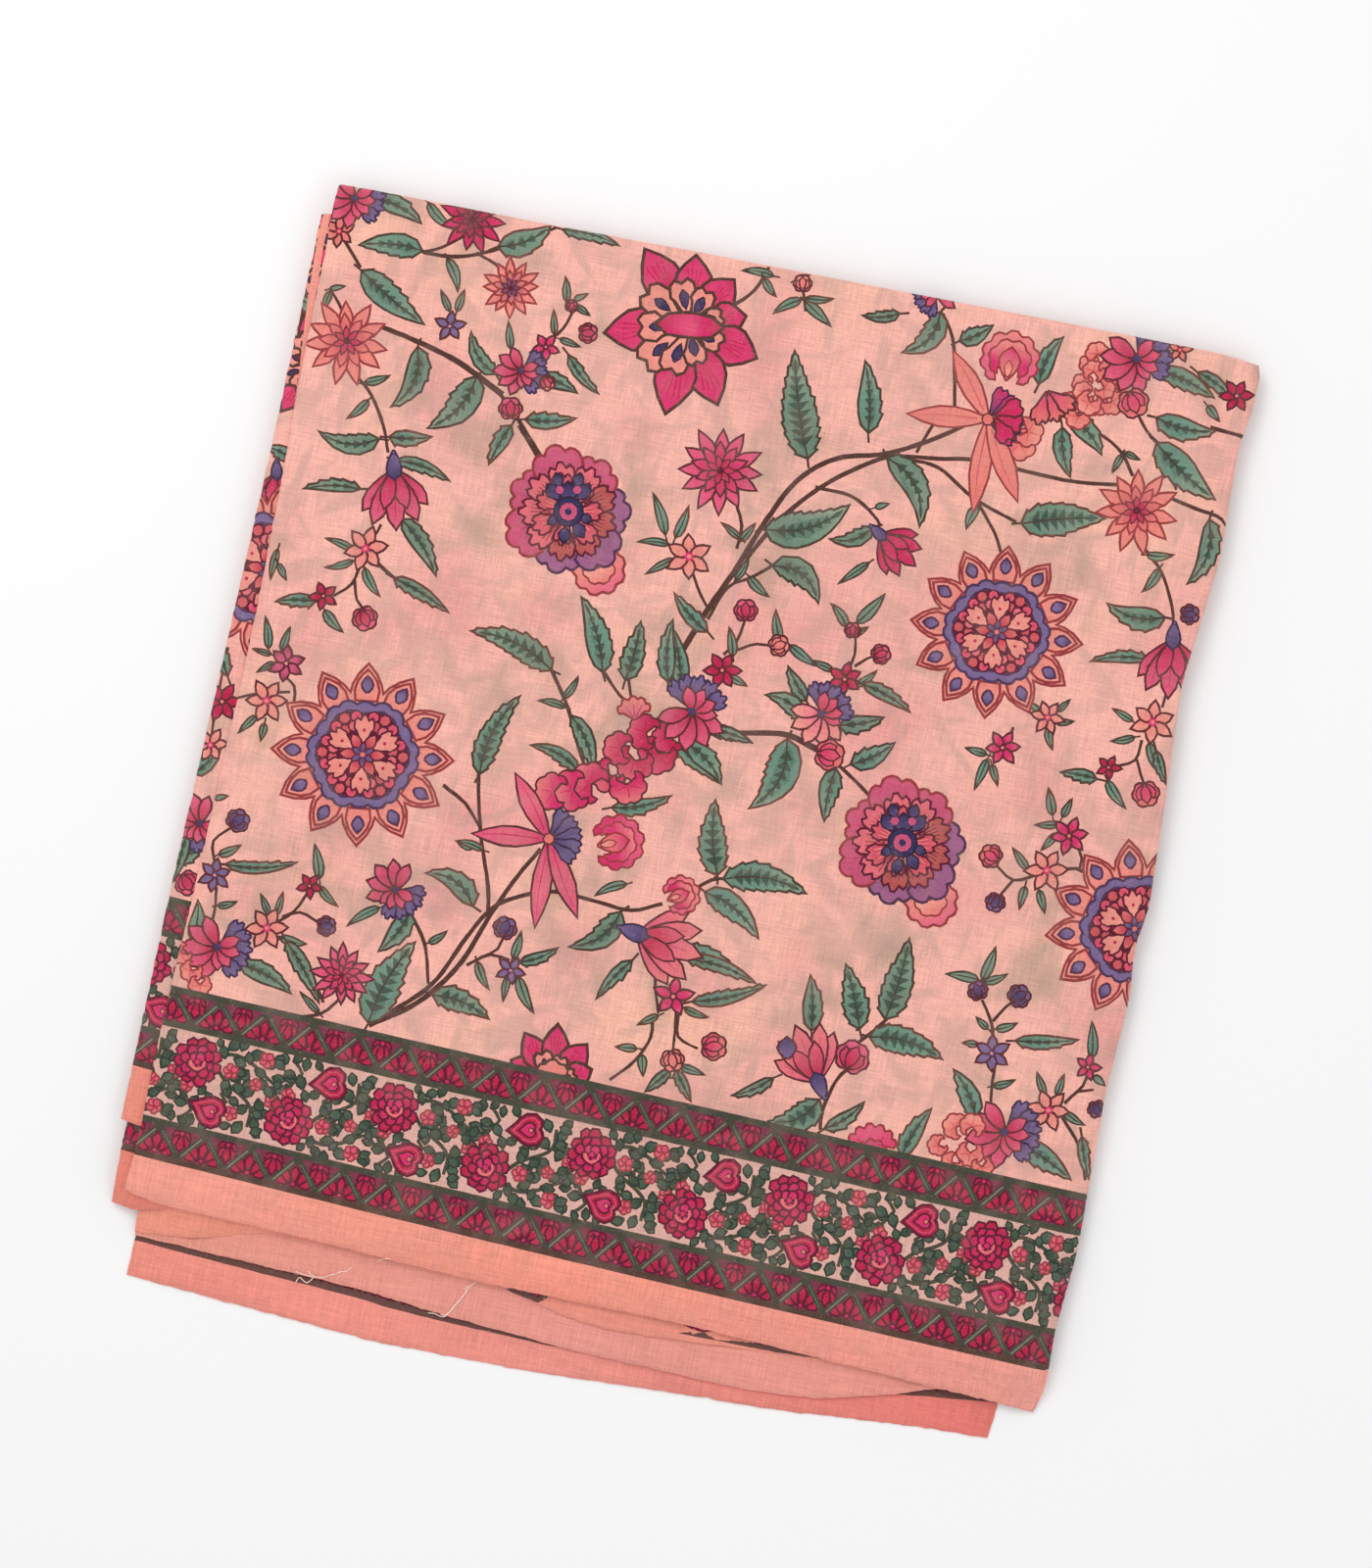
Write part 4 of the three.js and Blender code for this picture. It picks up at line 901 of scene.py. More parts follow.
# sides: (y, left x, right x); ends: (x, near y, far y)
OUTLINES = {
    "base": (
        [(-290, -238.5, 232.5), (-262, -237.5, 235), (0, -240, 243), (270, -243, 243)],
        [(-238.5, -300.5, 287), (-190, -303, 288), (-100, -307.5, 290), (-15, -305.5, 292), (60, -300.5, 294), (115, -298, 296), (194, -290.5, 297), (232.5, -288.5, 297)],
    ),
    "third": (
        [(-272, -238.5, 238), (0, -240, 238), (270, -243, 238)],
        [(-238.5, -278.5, 286), (-112, -281.5, 288), (-67, -285.5, 289), (5, -289.5, 290), (97, -290.5, 292), (137, -287.5, 293), (177, -276.5, 294), (202, -267.5, 294), (238, -257, 294)],
    ),
    "second": (
        [(-272, -239, 239), (0, -241, 239), (270, -244, 239)],
        [(-239, -276.5, 287), (-207, -273.5, 288), (-164, -260.5, 288), (-130, -256, 289), (-46, -256, 291), (-40, -265.2, 291), (-22, -268.2, 291.5), (-4, -272.0, 292), (20, -274.5, 292), (63, -271.5, 293), (150, -264.5, 295), (200, -255, 296), (239, -252, 296)],
    ),
    "left_under": (
        [(-262, -254.5, 240), (-222, -255, 240), (0, -250, 240), (250, -250, 240)],
        [(-254.5, -263.5, 276), (-241, -265.5, 284), (-200, -254, 288), (0, -252, 293), (240, -250, 297)],
    ),
    "left_over": (
        [(-216, -258.5, 240.5), (-95, -258.5, 240.5), (30, -257, 240.5), (150, -255.5, 240.5), (277, -255.5, 240.5)],
        [(-258.5, -218.5, 278.5), (-243, -220.5, 281), (0, -224, 293), (240.5, -228, 297.5)],
    ),
    "top": (
        [(-256, -248.5, 257.5), (-225, -246.5, 255.5), (-180, -247.5, 258.5), (-95, -245.5, 255), (-40, -245, 257), (-14, -245, 253.5), (8, -244.5, 257), (60, -244.5, 253.5), (130, -246, 248.5), (200, -248.5, 254.5), (260, -249, 251.5), (288, -250.5, 255.5)],
        [(-248.5, -254.8, 296.5), (-239, -257.4, 297), (-225, -258.9, 297.3), (-137, -260.5, 299), (-55, -263.5, 301.5), (62, -262.5, 304), (146, -265.5, 306), (232, -268.5, 307.5), (254, -269.5, 305.5)],
    ),
}
HIDDEN = {"left": -247.0, "right": 246.0, "near": -243.0, "far_left": 290.0, "far_right": 300.0, "corner": 12.0}
ORDER = ["third", "second", "left_under", "left_over", "top"]


def loop_sides(name):
    sides, ends = OUTLINES[name]
    ys = [y for y, _, _ in sides]

    def left_of(y):
        return float(np.interp(y, ys, [l for _, l, _ in sides]))

    def right_of(y):
        return float(np.interp(y, ys, [r for _, _, r in sides]))

    (_, n0, f0), (_, n1, f1) = ends[0], ends[-1]
    a, b, c, d = (left_of(n0), n0), (right_of(n1), n1), (right_of(f1), f1), (left_of(f0), f0)
    middle = [e for e in ends if a[0] + 5 < e[0] < b[0] - 5]
    near = [a] + [(x, n) for x, n, f in middle] + [b]
    far = [c] + [(x, f) for x, n, f in middle if d[0] + 5 < x < c[0] - 5][::-1] + [d]
    right = [(r, y) for y, l, r in sides if n1 + 6 < y < f1 - 6]
    left = [(l, y) for y, l, r in sides if n0 + 6 < y < f0 - 6][::-1]
    return near, right, far, left


def rough_loop(name):
    near, right, far, left = loop_sides(name)
    return np.array(near + right + far + left, float)


def inside(loop, x, y):
    x0, y0 = loop[:, 0], loop[:, 1]
    x1, y1 = np.roll(x0, -1), np.roll(y0, -1)
    rise = np.where(y1 == y0, 1e-12, y1 - y0)
    hit = np.zeros(len(x), bool)
    chunk = max(1, 2000000 // len(loop))
    for k in range(0, len(x), chunk):
        px, py = x[k : k + chunk, None], y[k : k + chunk, None]
        cross = ((y0 > py) != (y1 > py)) & (px < (x1 - x0) * (py - y0) / rise + x0)
        hit[k : k + chunk] = (cross.sum(1) % 2).astype(bool)
    return hit


def edge_distance(loop, x, y):
    best = np.full(len(x), 1e9)
    for (ax, ay), (bx, by) in zip(loop, np.roll(loop, -1, 0)):
        lx, ly = bx - ax, by - ay
        t = np.clip(((x - ax) * lx + (y - ay) * ly) / max(lx * lx + ly * ly, 1e-9), 0, 1)
        best = np.minimum(best, np.hypot(x - ax - t * lx, y - ay - t * ly))
    return best


def cover(loop, x, y):
    d = np.where(inside(loop, x, y), 0.0, edge_distance(loop, x, y))
    t = np.clip((d - CLOSE) / SETTLE, 0, 1)
    return 1 - t * t * (3 - 2 * t)


LOOPS = {name: rough_loop(name) for name in OUTLINES}
HIDDEN_LOOP = np.array([(HIDDEN["left"], HIDDEN["near"]), (HIDDEN["right"], HIDDEN["near"]), (HIDDEN["right"], HIDDEN["far_right"]), (HIDDEN["left"], HIDDEN["far_left"])])

# Soft ridges (+) and troughs (-) that the pile's upper layers share.
RIDGES = [
    # x0, y0, x1, y1, width, height
    (-243, -150, -240, 210, 5.0, 0.35), (-225, 285, 180, 296, 5.0, 0.30), (-180, 250, -120, 120, 9.0, 0.45), (-60, 270, -20, 190, 8.0, -0.35),
    (60, 240, 90, 120, 10.0, 0.40), (150, 285, 165, 180, 9.0, -0.40), (225, 130, 246, 128, 9.0, -0.55), (228, 200, 250, 205, 9.0, 0.5),
    (232, 60, 252, 58, 8.0, 0.45), (226, -14, 250, -13, 6.0, -0.5), (230, 8, 254, 10, 7.0, 0.5), (232, -95, 252, -94, 10.0, -0.35),
    (210, -180, 256, -180, 12.0, 0.45), (-150, 60, -190, -60, 12.0, 0.35), (20, 30, 50, -70, 11.0, -0.35), (120, -20, 150, -120, 12.0, 0.4),
    (-90, -40, -60, -120, 10.0, 0.3), (-235, -40, -205, -120, 9.0, -0.3), (-10, -175, 120, -190, 9.0, 0.3), (-180, -200, -60, -215, 9.0, 0.25),
    (190, -235, 236, -262, 6.0, 0.5), (60, -240, 130, -258, 6.0, 0.35), (-120, -235, -40, -252, 6.0, 0.3), (-230, -236, -190, -252, 6.0, 0.35),
]


def segment_distance(x, y, x0, y0, x1, y1):
    lx, ly = x1 - x0, y1 - y0
    t = np.clip(((x - x0) * lx + (y - y0) * ly) / (lx * lx + ly * ly), 0, 1)
    return np.hypot(x - x0 - t * lx, y - y0 - t * ly)


def relief(x, y):
    z = np.zeros(len(x))
    for x0, y0, x1, y1, width, height in RIDGES:
        z += height * np.exp(-((segment_distance(x, y, x0, y0, x1, y1) / width) ** 2))
    rng = random.Random(5)
    for _ in range(70):  # faint crumples
        cx, cy, a = rng.uniform(-240, 245), rng.uniform(-240, 290), rng.uniform(-0.5, 0.5) + (math.pi / 2 if rng.random() < 0.6 else 0)
        half, width, height = rng.uniform(10, 45), rng.uniform(2.5, 6.0), rng.uniform(-0.14, 0.16)
        dx, dy = math.cos(a) * half, math.sin(a) * half
        z += height * np.exp(-((segment_distance(x, y, cx - dx, cy - dy, cx + dx, cy + dy) / width) ** 2))
    return z + 0.18 * np.sin(x / 23.0 + 1.3 * np.sin(y / 61.0)) * np.sin(y / 37.0 + 0.8)


def underside(name, x, y):
    if name == "base":
        return np.zeros(len(x))
    z = FLOOR_GAP + (BASE_WALL + GAP - FLOOR_GAP) * cover(LOOPS["base"], x, y)
    z = z + (HIDDEN_HEIGHT + GAP) * cover(HIDDEN_LOOP, x, y)
    for lower in ORDER[: ORDER.index(name)]:
        z = z + (WALL + GAP) * cover(LOOPS[lower], x, y)
    z = z + 0.2
    lift = np.clip((z - 1.4) / 5.0, 0, 1)
    return z + relief(x, y) * lift


# ---------------------------------------------------------------------------
# Meshes
# ---------------------------------------------------------------------------
def eased(points, step, times=14):
    """The points joined by straight lines, then rounded where they meet."""
    p = np.asarray(points, float)
    s = np.concatenate(([0], np.cumsum(np.hypot(*np.diff(p, axis=0).T))))
    n = max(3, int(s[-1] / step) + 1)
    t = np.linspace(0, s[-1], n)
    q = np.column_stack((np.interp(t, s, p[:, 0]), np.interp(t, s, p[:, 1])))
    for _ in range(times):
        q[1:-1] = 0.25 * q[:-2] + 0.5 * q[1:-1] + 0.25 * q[2:]
    return q


def smooth_loop(name, seed, wobble=0.25, step=2.4):
    """The outline with its sides smoothed, corners kept, and a little uneven."""
    rng = random.Random(seed)
    near, right, far, left = loop_sides(name)
    corners = [near[0], near[-1], far[0], far[-1]]
    runs = [near, [near[-1]] + right + [far[0]], far, [far[-1]] + left + [near[0]]]
    out = []
    for run in runs:
        p = eased(run, step)
        n = len(p)
        waves = [(rng.uniform(9, 40), rng.uniform(0, 6.28), rng.uniform(0.3, 1.0)) for _ in range(4)]
        s = np.arange(n) * step
        bump = sum(h * np.sin(s / w * 2 * math.pi + ph) for w, ph, h in waves) * wobble * 0.5
        bump = bump + np.array([rng.gauss(0, 0.11) for _ in range(n)])
        fade = np.clip(np.minimum(np.arange(n), n - 1 - np.arange(n)) / 3.0, 0, 1)
        d = np.gradient(p, axis=0)
        d /= np.linalg.norm(d, axis=1, keepdims=True)
        p = p + np.column_stack((d[:, 1], -d[:, 0])) * (bump * fade)[:, None]
        out.append(p[:-1])
    return np.vstack(out), corners


def grid_points(loop, step, seed, margin):
    rng = np.random.default_rng(seed)
    lo, hi = loop.min(0), loop.max(0)
    xs = np.arange(lo[0], hi[0], step)
    ys = np.arange(lo[1], hi[1], step)
    gx, gy = np.meshgrid(xs, ys)
    gx = gx + (np.arange(len(ys)) % 2)[:, None] * step / 2
    p = np.column_stack((gx.ravel(), gy.ravel())) + rng.uniform(-0.12, 0.12, (gx.size, 2)) * step
    keep = inside(loop, p[:, 0], p[:, 1])
    p = p[keep]
    return p[edge_distance(loop, p[:, 0], p[:, 1]) > margin]


def topmost(points, tris, shapes):
    """The number of the shape that each triangle shows, 0 being the ground."""
    c = points[tris].mean(1)
    order = np.argsort(c[:, 0])
    cx, cy = c[order, 0], c[order, 1]
    shown = np.zeros(len(tris), int)
    for number, (p, _, _) in enumerate(shapes, 1):
        lo, hi = p.min(0), p.max(0)
        i, j = np.searchsorted(cx, (lo[0], hi[0]))
        near = np.nonzero((cy[i:j] >= lo[1]) & (cy[i:j] <= hi[1]))[0] + i
        if len(near):
            near = near[inside(p, cx[near], cy[near])]
            shown[order[near]] = number
    return shown


def fill(points, loop, edges):
    """Triangles within the loop that follow all the edges. Also gives the
    point that each of the loop's points became."""
    out = delaunay_2d_cdt([Vector(p) for p in points.tolist()], edges, [loop], 1, 1e-5, True)
    where = {}
    for i, origins in enumerate(out[3]):
        for o in origins:
            where[o] = i
    done = np.array([(v.x, v.y) for v in out[0]])
    tris = np.array([t for t, own in zip(out[2], out[5]) if own and len(t) == 3])
    a, b, c = done[tris[:, 0]], done[tris[:, 1]], done[tris[:, 2]]
    area = (b[:, 0] - a[:, 0]) * (c[:, 1] - a[:, 1]) - (b[:, 1] - a[:, 1]) * (c[:, 0] - a[:, 0])
    if area.sum() < 0:
        tris = tris[:, ::-1]
    used = np.unique(tris)
    remap = -np.ones(len(done), int)
    remap[used] = np.arange(len(used))
    return done[used], remap[tris], np.array([remap[where[k]] for k in loop])


def triangulate(loop, extra, shapes, tight=1.7):
    """Triangles that follow the visible edges of the shapes. Gives points,
    triangles, the shape that each shows, and the loop's points in it."""
    if not shapes:
        points, tris, rim = fill(np.vstack((loop, extra)), list(range(len(loop))), [])
        return points, tris, np.zeros(len(tris), int), rim
    lo, hi = loop.min(0) - 1, loop.max(0) + 1
    parts, edges, n = [loop], [], len(loop)
    for p, _, _ in shapes:
        if p[:, 0].max() < lo[0] or p[:, 0].min() > hi[0] or p[:, 1].max() < lo[1] or p[:, 1].min() > hi[1]:
            continue
        m = len(p)
        parts.append(p)
        edges += [(n + i, n + (i + 1) % m) for i in range(m)]
        n += m
    points, tris, _ = fill(np.vstack(parts), list(range(len(loop))), edges)
    shown = topmost(points, tris, shapes)
    # only the edges that can be seen are kept
    size = len(points)
    e = np.vstack((tris[:, [0, 1]], tris[:, [1, 2]], tris[:, [2, 0]]))
    what = np.tile(shown, 3)
    key = np.sort(e, 1) @ np.array([size, 1])
    order = np.argsort(key, kind="stable")
    key, what, e = key[order], what[order], np.sort(e, 1)[order]
    pair = np.nonzero(key[1:] == key[:-1])[0]
    seen = e[pair[what[pair] != what[pair + 1]]]
    rim, _ = boundary(tris)
    used = np.unique(np.concatenate((seen.ravel(), rim)))
    remap = -np.ones(size, int)
    remap[used] = np.arange(len(used))
    kept = points[used]
    cells = set(map(tuple, np.floor(kept / tight).astype(int).tolist()))
    free = [tuple(c) not in cells for c in np.floor(extra / tight).astype(int).tolist()]
    points, tris, rim = fill(np.vstack((kept, extra[free])), remap[rim].tolist(), [tuple(x) for x in remap[seen].tolist()])
    return points, tris, topmost(points, tris, shapes), rim


def boundary(tris):
    """The outer edge of the triangles as one ordered loop of point numbers,
    and the triangle that each of its edges belongs to."""
    n = int(tris.max()) + 1
    e = np.vstack((tris[:, [0, 1]], tris[:, [1, 2]], tris[:, [2, 0]]))
    owner = np.tile(np.arange(len(tris)), 3)
    key = e[:, 0] * n + e[:, 1]
    back = e[:, 1] * n + e[:, 0]
    lone = ~np.isin(key, back)
    nxt = {int(a): (int(b), int(o)) for (a, b), o in zip(e[lone], owner[lone])}
    start = next(iter(nxt))
    loop, owners = [start], []
    while len(owners) <= len(nxt):
        b, o = nxt[loop[-1]]
        owners.append(o)
        if b == start:
            break
        loop.append(b)
    if len(loop) != len(nxt):
        print("boundary has", len(nxt), "edges and the loop", len(loop))
    return np.array(loop), np.array(owners)


def paint(points, tris, shown, shapes, ground):
    """A colour for each corner of each triangle."""
    corner = points[tris.ravel()]
    which = np.repeat(shown, 3)
    out = ground(corner[:, 0], corner[:, 1])
    if shapes:
        way = np.array([0.0] + [s[1][0] for s in shapes])
        ends = np.array([(0, 0, 1, 0)] + [s[1][1:] for s in shapes])
        stops = np.array([((0, 0, 0),) * 3] + [s[2] for s in shapes])
        w, e, c = way[which], ends[which], stops[which]
        d = e[:, 2:] - e[:, :2]
        rel = corner - e[:, :2]
        size = np.maximum((d**2).sum(1), 1e-9)
        t = np.where(w == 1, (rel * d).sum(1) / size, np.where(w == 2, np.sqrt((rel**2).sum(1) / size), 0.0))
        t = np.clip(t, 0, 1)[:, None]
        col = np.where(t < 0.5, c[:, 0] + (c[:, 1] - c[:, 0]) * t * 2, c[:, 1] + (c[:, 2] - c[:, 1]) * (t * 2 - 1))
        shade = out / np.maximum(GROUND_MEAN, 1e-6)
        col = col * (1 + (shade - 1) * 0.35)
        out = np.where((which > 0)[:, None], col, out)
    return np.column_stack((out, np.where(which > 0, 0.25, 1.0)))


GROUND_MEAN = np.array(ink(245, 180, 166))


def soft(x, y, cx, cy, angle, length, width, power=2.0):
    ca, sa = math.cos(angle), math.sin(angle)
    u = ((x - cx) * ca + (y - cy) * sa) / (length / 2)
    v = (-(x - cx) * sa + (y - cy) * ca) / (width / 2)
    return np.exp(-((u * u + v * v) ** power))


def printed_ground(seed):
    """Peach ground with blotches, and the soft grey-green leaves and pink
    flowers of the layers below showing through the thin cloth."""
    rng = random.Random(seed)
    ghosts, warm = [], []
    grey = np.array(ink(184, 154, 134))
    rosy = np.array(ink(222, 136, 140))
    for _ in range(64):  # sprigs: a few leaves about a stem
        cx, cy, lean = rng.uniform(-250, 255), rng.uniform(-150, 305), rng.uniform(0, math.pi)
        strength = rng.uniform(0.45, 1.0)
        for k in range(rng.randint(2, 5)):
            along = rng.uniform(-32, 32)
            x, y = cx + math.cos(lean) * along, cy + math.sin(lean) * along
            a = lean + rng.choice((-0.8, 0.8)) + rng.uniform(-0.35, 0.35)
            length = rng.uniform(15, 34)
            ghosts.append((x + math.cos(a) * length * 0.4, y + math.sin(a) * length * 0.4, a, length, length * rng.uniform(0.3, 0.42), strength, grey))
    for _ in range(26):
        cx, cy, r = rng.uniform(-250, 255), rng.uniform(-140, 305), rng.uniform(22, 42)
        ghosts.append((cx, cy, rng.uniform(0, math.pi), r, r * rng.uniform(0.7, 0.95), rng.uniform(0.25, 0.6), rosy))
    for _ in range(100):
        warm.append((rng.uniform(-255, 260), rng.uniform(-160, 310), rng.uniform(0, math.pi), rng.uniform(24, 100), rng.uniform(14, 42), rng.random(), rng.uniform(0.3, 0.95)))
    pinkish = np.array(ink(232, 154, 150))
    light = np.array(ink(246, 186, 162))

    def colour(x, y):
        out = np.tile(GROUND_MEAN, (len(x), 1))
        for cx, cy, a, length, width, tone, amount in warm:
            near = np.nonzero((np.abs(x - cx) < length) & (np.abs(y - cy) < length))[0]
            m = soft(x[near], y[near], cx, cy, a, length, width, 1.2)[:, None] * amount * 0.75
            out[near] += ((pinkish if tone < 0.5 else light) - out[near]) * m
        for cx, cy, a, length, width, amount, c in ghosts:
            near = np.nonzero((np.abs(x - cx) < length) & (np.abs(y - cy) < length))[0]
            m = soft(x[near], y[near], cx, cy, a, length, width, 2.0)[:, None] * amount * 0.6
            out[near] += (c - out[near]) * m
        return out

    return colour


def plain_ground(left, middle, right, seed):
    rng = random.Random(seed)
    blots = [(rng.uniform(-260, 260), rng.uniform(-310, -180), rng.uniform(-0.3, 0.3), rng.uniform(30, 140), rng.uniform(4, 16), rng.uniform(-0.05, 0.05)) for _ in range(60)]
    l, m, r = np.array(ink(*left)), np.array(ink(*middle)), np.array(ink(*right))

    def colour(x, y):
        t = np.clip((x + 250) / 505, 0, 1)[:, None]
        out = np.where(t < 0.5, l + (m - l) * t * 2, m + (r - m) * (t * 2 - 1))
        k = np.ones(len(x))
        for cx, cy, a, length, width, amount in blots:
            k += soft(x, y, cx, cy, a, length, width, 1.2) * amount
        return out * k[:, None]

    return colour


def make_mesh(name, verts, faces, colours, smooth, material):
    """verts in millimetres; colours holds one row for each corner."""
    mesh = bpy.data.meshes.new(name)
    mesh.vertices.add(len(verts))
    mesh.vertices.foreach_set("co", (np.asarray(verts) * MM).astype(np.float32).ravel())
    sizes = np.array([len(f) for f in faces]) if not isinstance(faces, np.ndarray) else np.full(len(faces), faces.shape[1])
    flat = faces.ravel() if isinstance(faces, np.ndarray) else np.concatenate([np.asarray(f) for f in faces])
    mesh.loops.add(len(flat))
    mesh.loops.foreach_set("vertex_index", flat.astype(np.int32))
    mesh.polygons.add(len(sizes))
    mesh.polygons.foreach_set("loop_start", np.concatenate(([0], np.cumsum(sizes)[:-1])).astype(np.int32))
    mesh.polygons.foreach_set("use_smooth", np.broadcast_to(smooth, len(sizes)))
    mesh.update(calc_edges=True)
    layer = mesh.color_attributes.new("print", "FLOAT_COLOR", "CORNER")
    rgba = np.ones((len(flat), 4), np.float32)
    rgba[:, :3] = np.clip(colours[:, :3], 0.0, 1.0)
    if colours.shape[1] == 4:
        rgba[:, 3] = colours[:, 3]
    layer.data.foreach_set("color", rgba.ravel())
    mesh.materials.append(material)
    obj = bpy.data.objects.new(name, mesh)
    bpy.context.scene.collection.objects.link(obj)
    if mesh.validate(verbose=False):
        print(name, "had invalid faces")
    return obj


def sheet_mesh(name, loop, place, shapes, ground, material, step=4.0, seed=1, extra=None, under_ground=None, under_shapes=(), under_step=9.0, rim_painted_shade=0.93, under_extra=None):
    """A closed thin shell: a printed face, an underside and a rounded rim.
    place(x, y, depth) gives the points in space, depth 0 on the face, 1 under."""
    inner = grid_points(loop, step, seed, step * 0.45)
    if extra is not None:
        inner = np.vstack((inner, extra))
    points, tris, shown, _ = triangulate(loop, inner, shapes)
    rim, owners = boundary(tris)
    n_top = len(points)
    edge = points[rim]
    face_colours = paint(points, tris, shown, shapes, ground)

    under_inner = grid_points(edge, under_step, seed + 1, under_step * 0.5)
    if under_extra is not None:
        under_inner = np.vstack((under_inner, under_extra))
    kept = []
    lo, hi = edge.min(0) + 8, edge.max(0) - 8
    for s in under_shapes:
        if (s[0].min(0) > lo).all() and (s[0].max(0) < hi).all():
            kept.append(s)
    u_points, u_tris, u_shown, rim_under = triangulate(edge, under_inner, kept)
    u_tris = u_tris[:, ::-1]
    under_colours = paint(u_points, u_tris, u_shown, kept, under_ground or ground)

    # rim: the face's edge, one ring half way down and a little out, the underside's edge
    d = np.roll(edge, -1, 0) - np.roll(edge, 1, 0)
    d /= np.maximum(np.linalg.norm(d, axis=1, keepdims=True), 1e-9)
    out_dir = np.column_stack((d[:, 1], -d[:, 0]))
    middle = edge + out_dir * 0.22

    top3 = place(points[:, 0], points[:, 1], 0.0)
    mid3 = place(middle[:, 0], middle[:, 1], 0.5)
    low3 = place(u_points[:, 0], u_points[:, 1], 1.0)
    m = len(edge)
    all3 = np.vstack((top3, mid3, low3))
    i = np.arange(m)
    j = (i + 1) % m
    ring0, ring1 = rim, n_top + i
    ring2 = n_top + m + rim_under
    first = np.column_stack((ring0[j], ring0[i], ring1[i], ring1[j]))
    second = np.column_stack((ring1[j], ring1[i], ring2[i], ring2[j]))

    def split(q):
        return np.vstack((q[:, [0, 1, 2]], q[:, [0, 2, 3]]))

    # the colour at each rim point, from the triangle that has the edge; rim_colours darkens it as painted shade on the
    # turned-down rim
    fc = face_colours.reshape(-1, 3, 4)
    at_i = np.zeros((m, 4))
    at_j = np.zeros((m, 4))
    for k in range(m):
        t = tris[owners[k]]
        at_i[k] = fc[owners[k]][int(np.where(t == rim[k])[0][0])]
        at_j[k] = fc[owners[k]][int(np.where(t == rim[(k + 1) % m])[0][0])]

    def rim_colours(shade):
        ci, cj = at_i * (shade, shade, shade, 1), at_j * (shade, shade, shade, 1)
        return np.vstack((np.stack((cj, ci, ci), 1).reshape(-1, 4), np.stack((cj, ci, cj), 1).reshape(-1, 4)))

    all_tris = np.vstack((tris, split(first), split(second), u_tris + n_top + m))
    # the rim rings carry painted shade: the face colour darkened, more on the lower ring
    colours = np.vstack((face_colours, rim_colours(rim_painted_shade), rim_colours(rim_painted_shade * 0.94), under_colours))
    obj = make_mesh(name, all3, all_tris, colours, True, material)
    print(name, len(all_tris), "triangles: face", len(tris), "rim", 4 * m, "under", len(u_tris), "loop", len(loop), "rim points", m)
    return obj


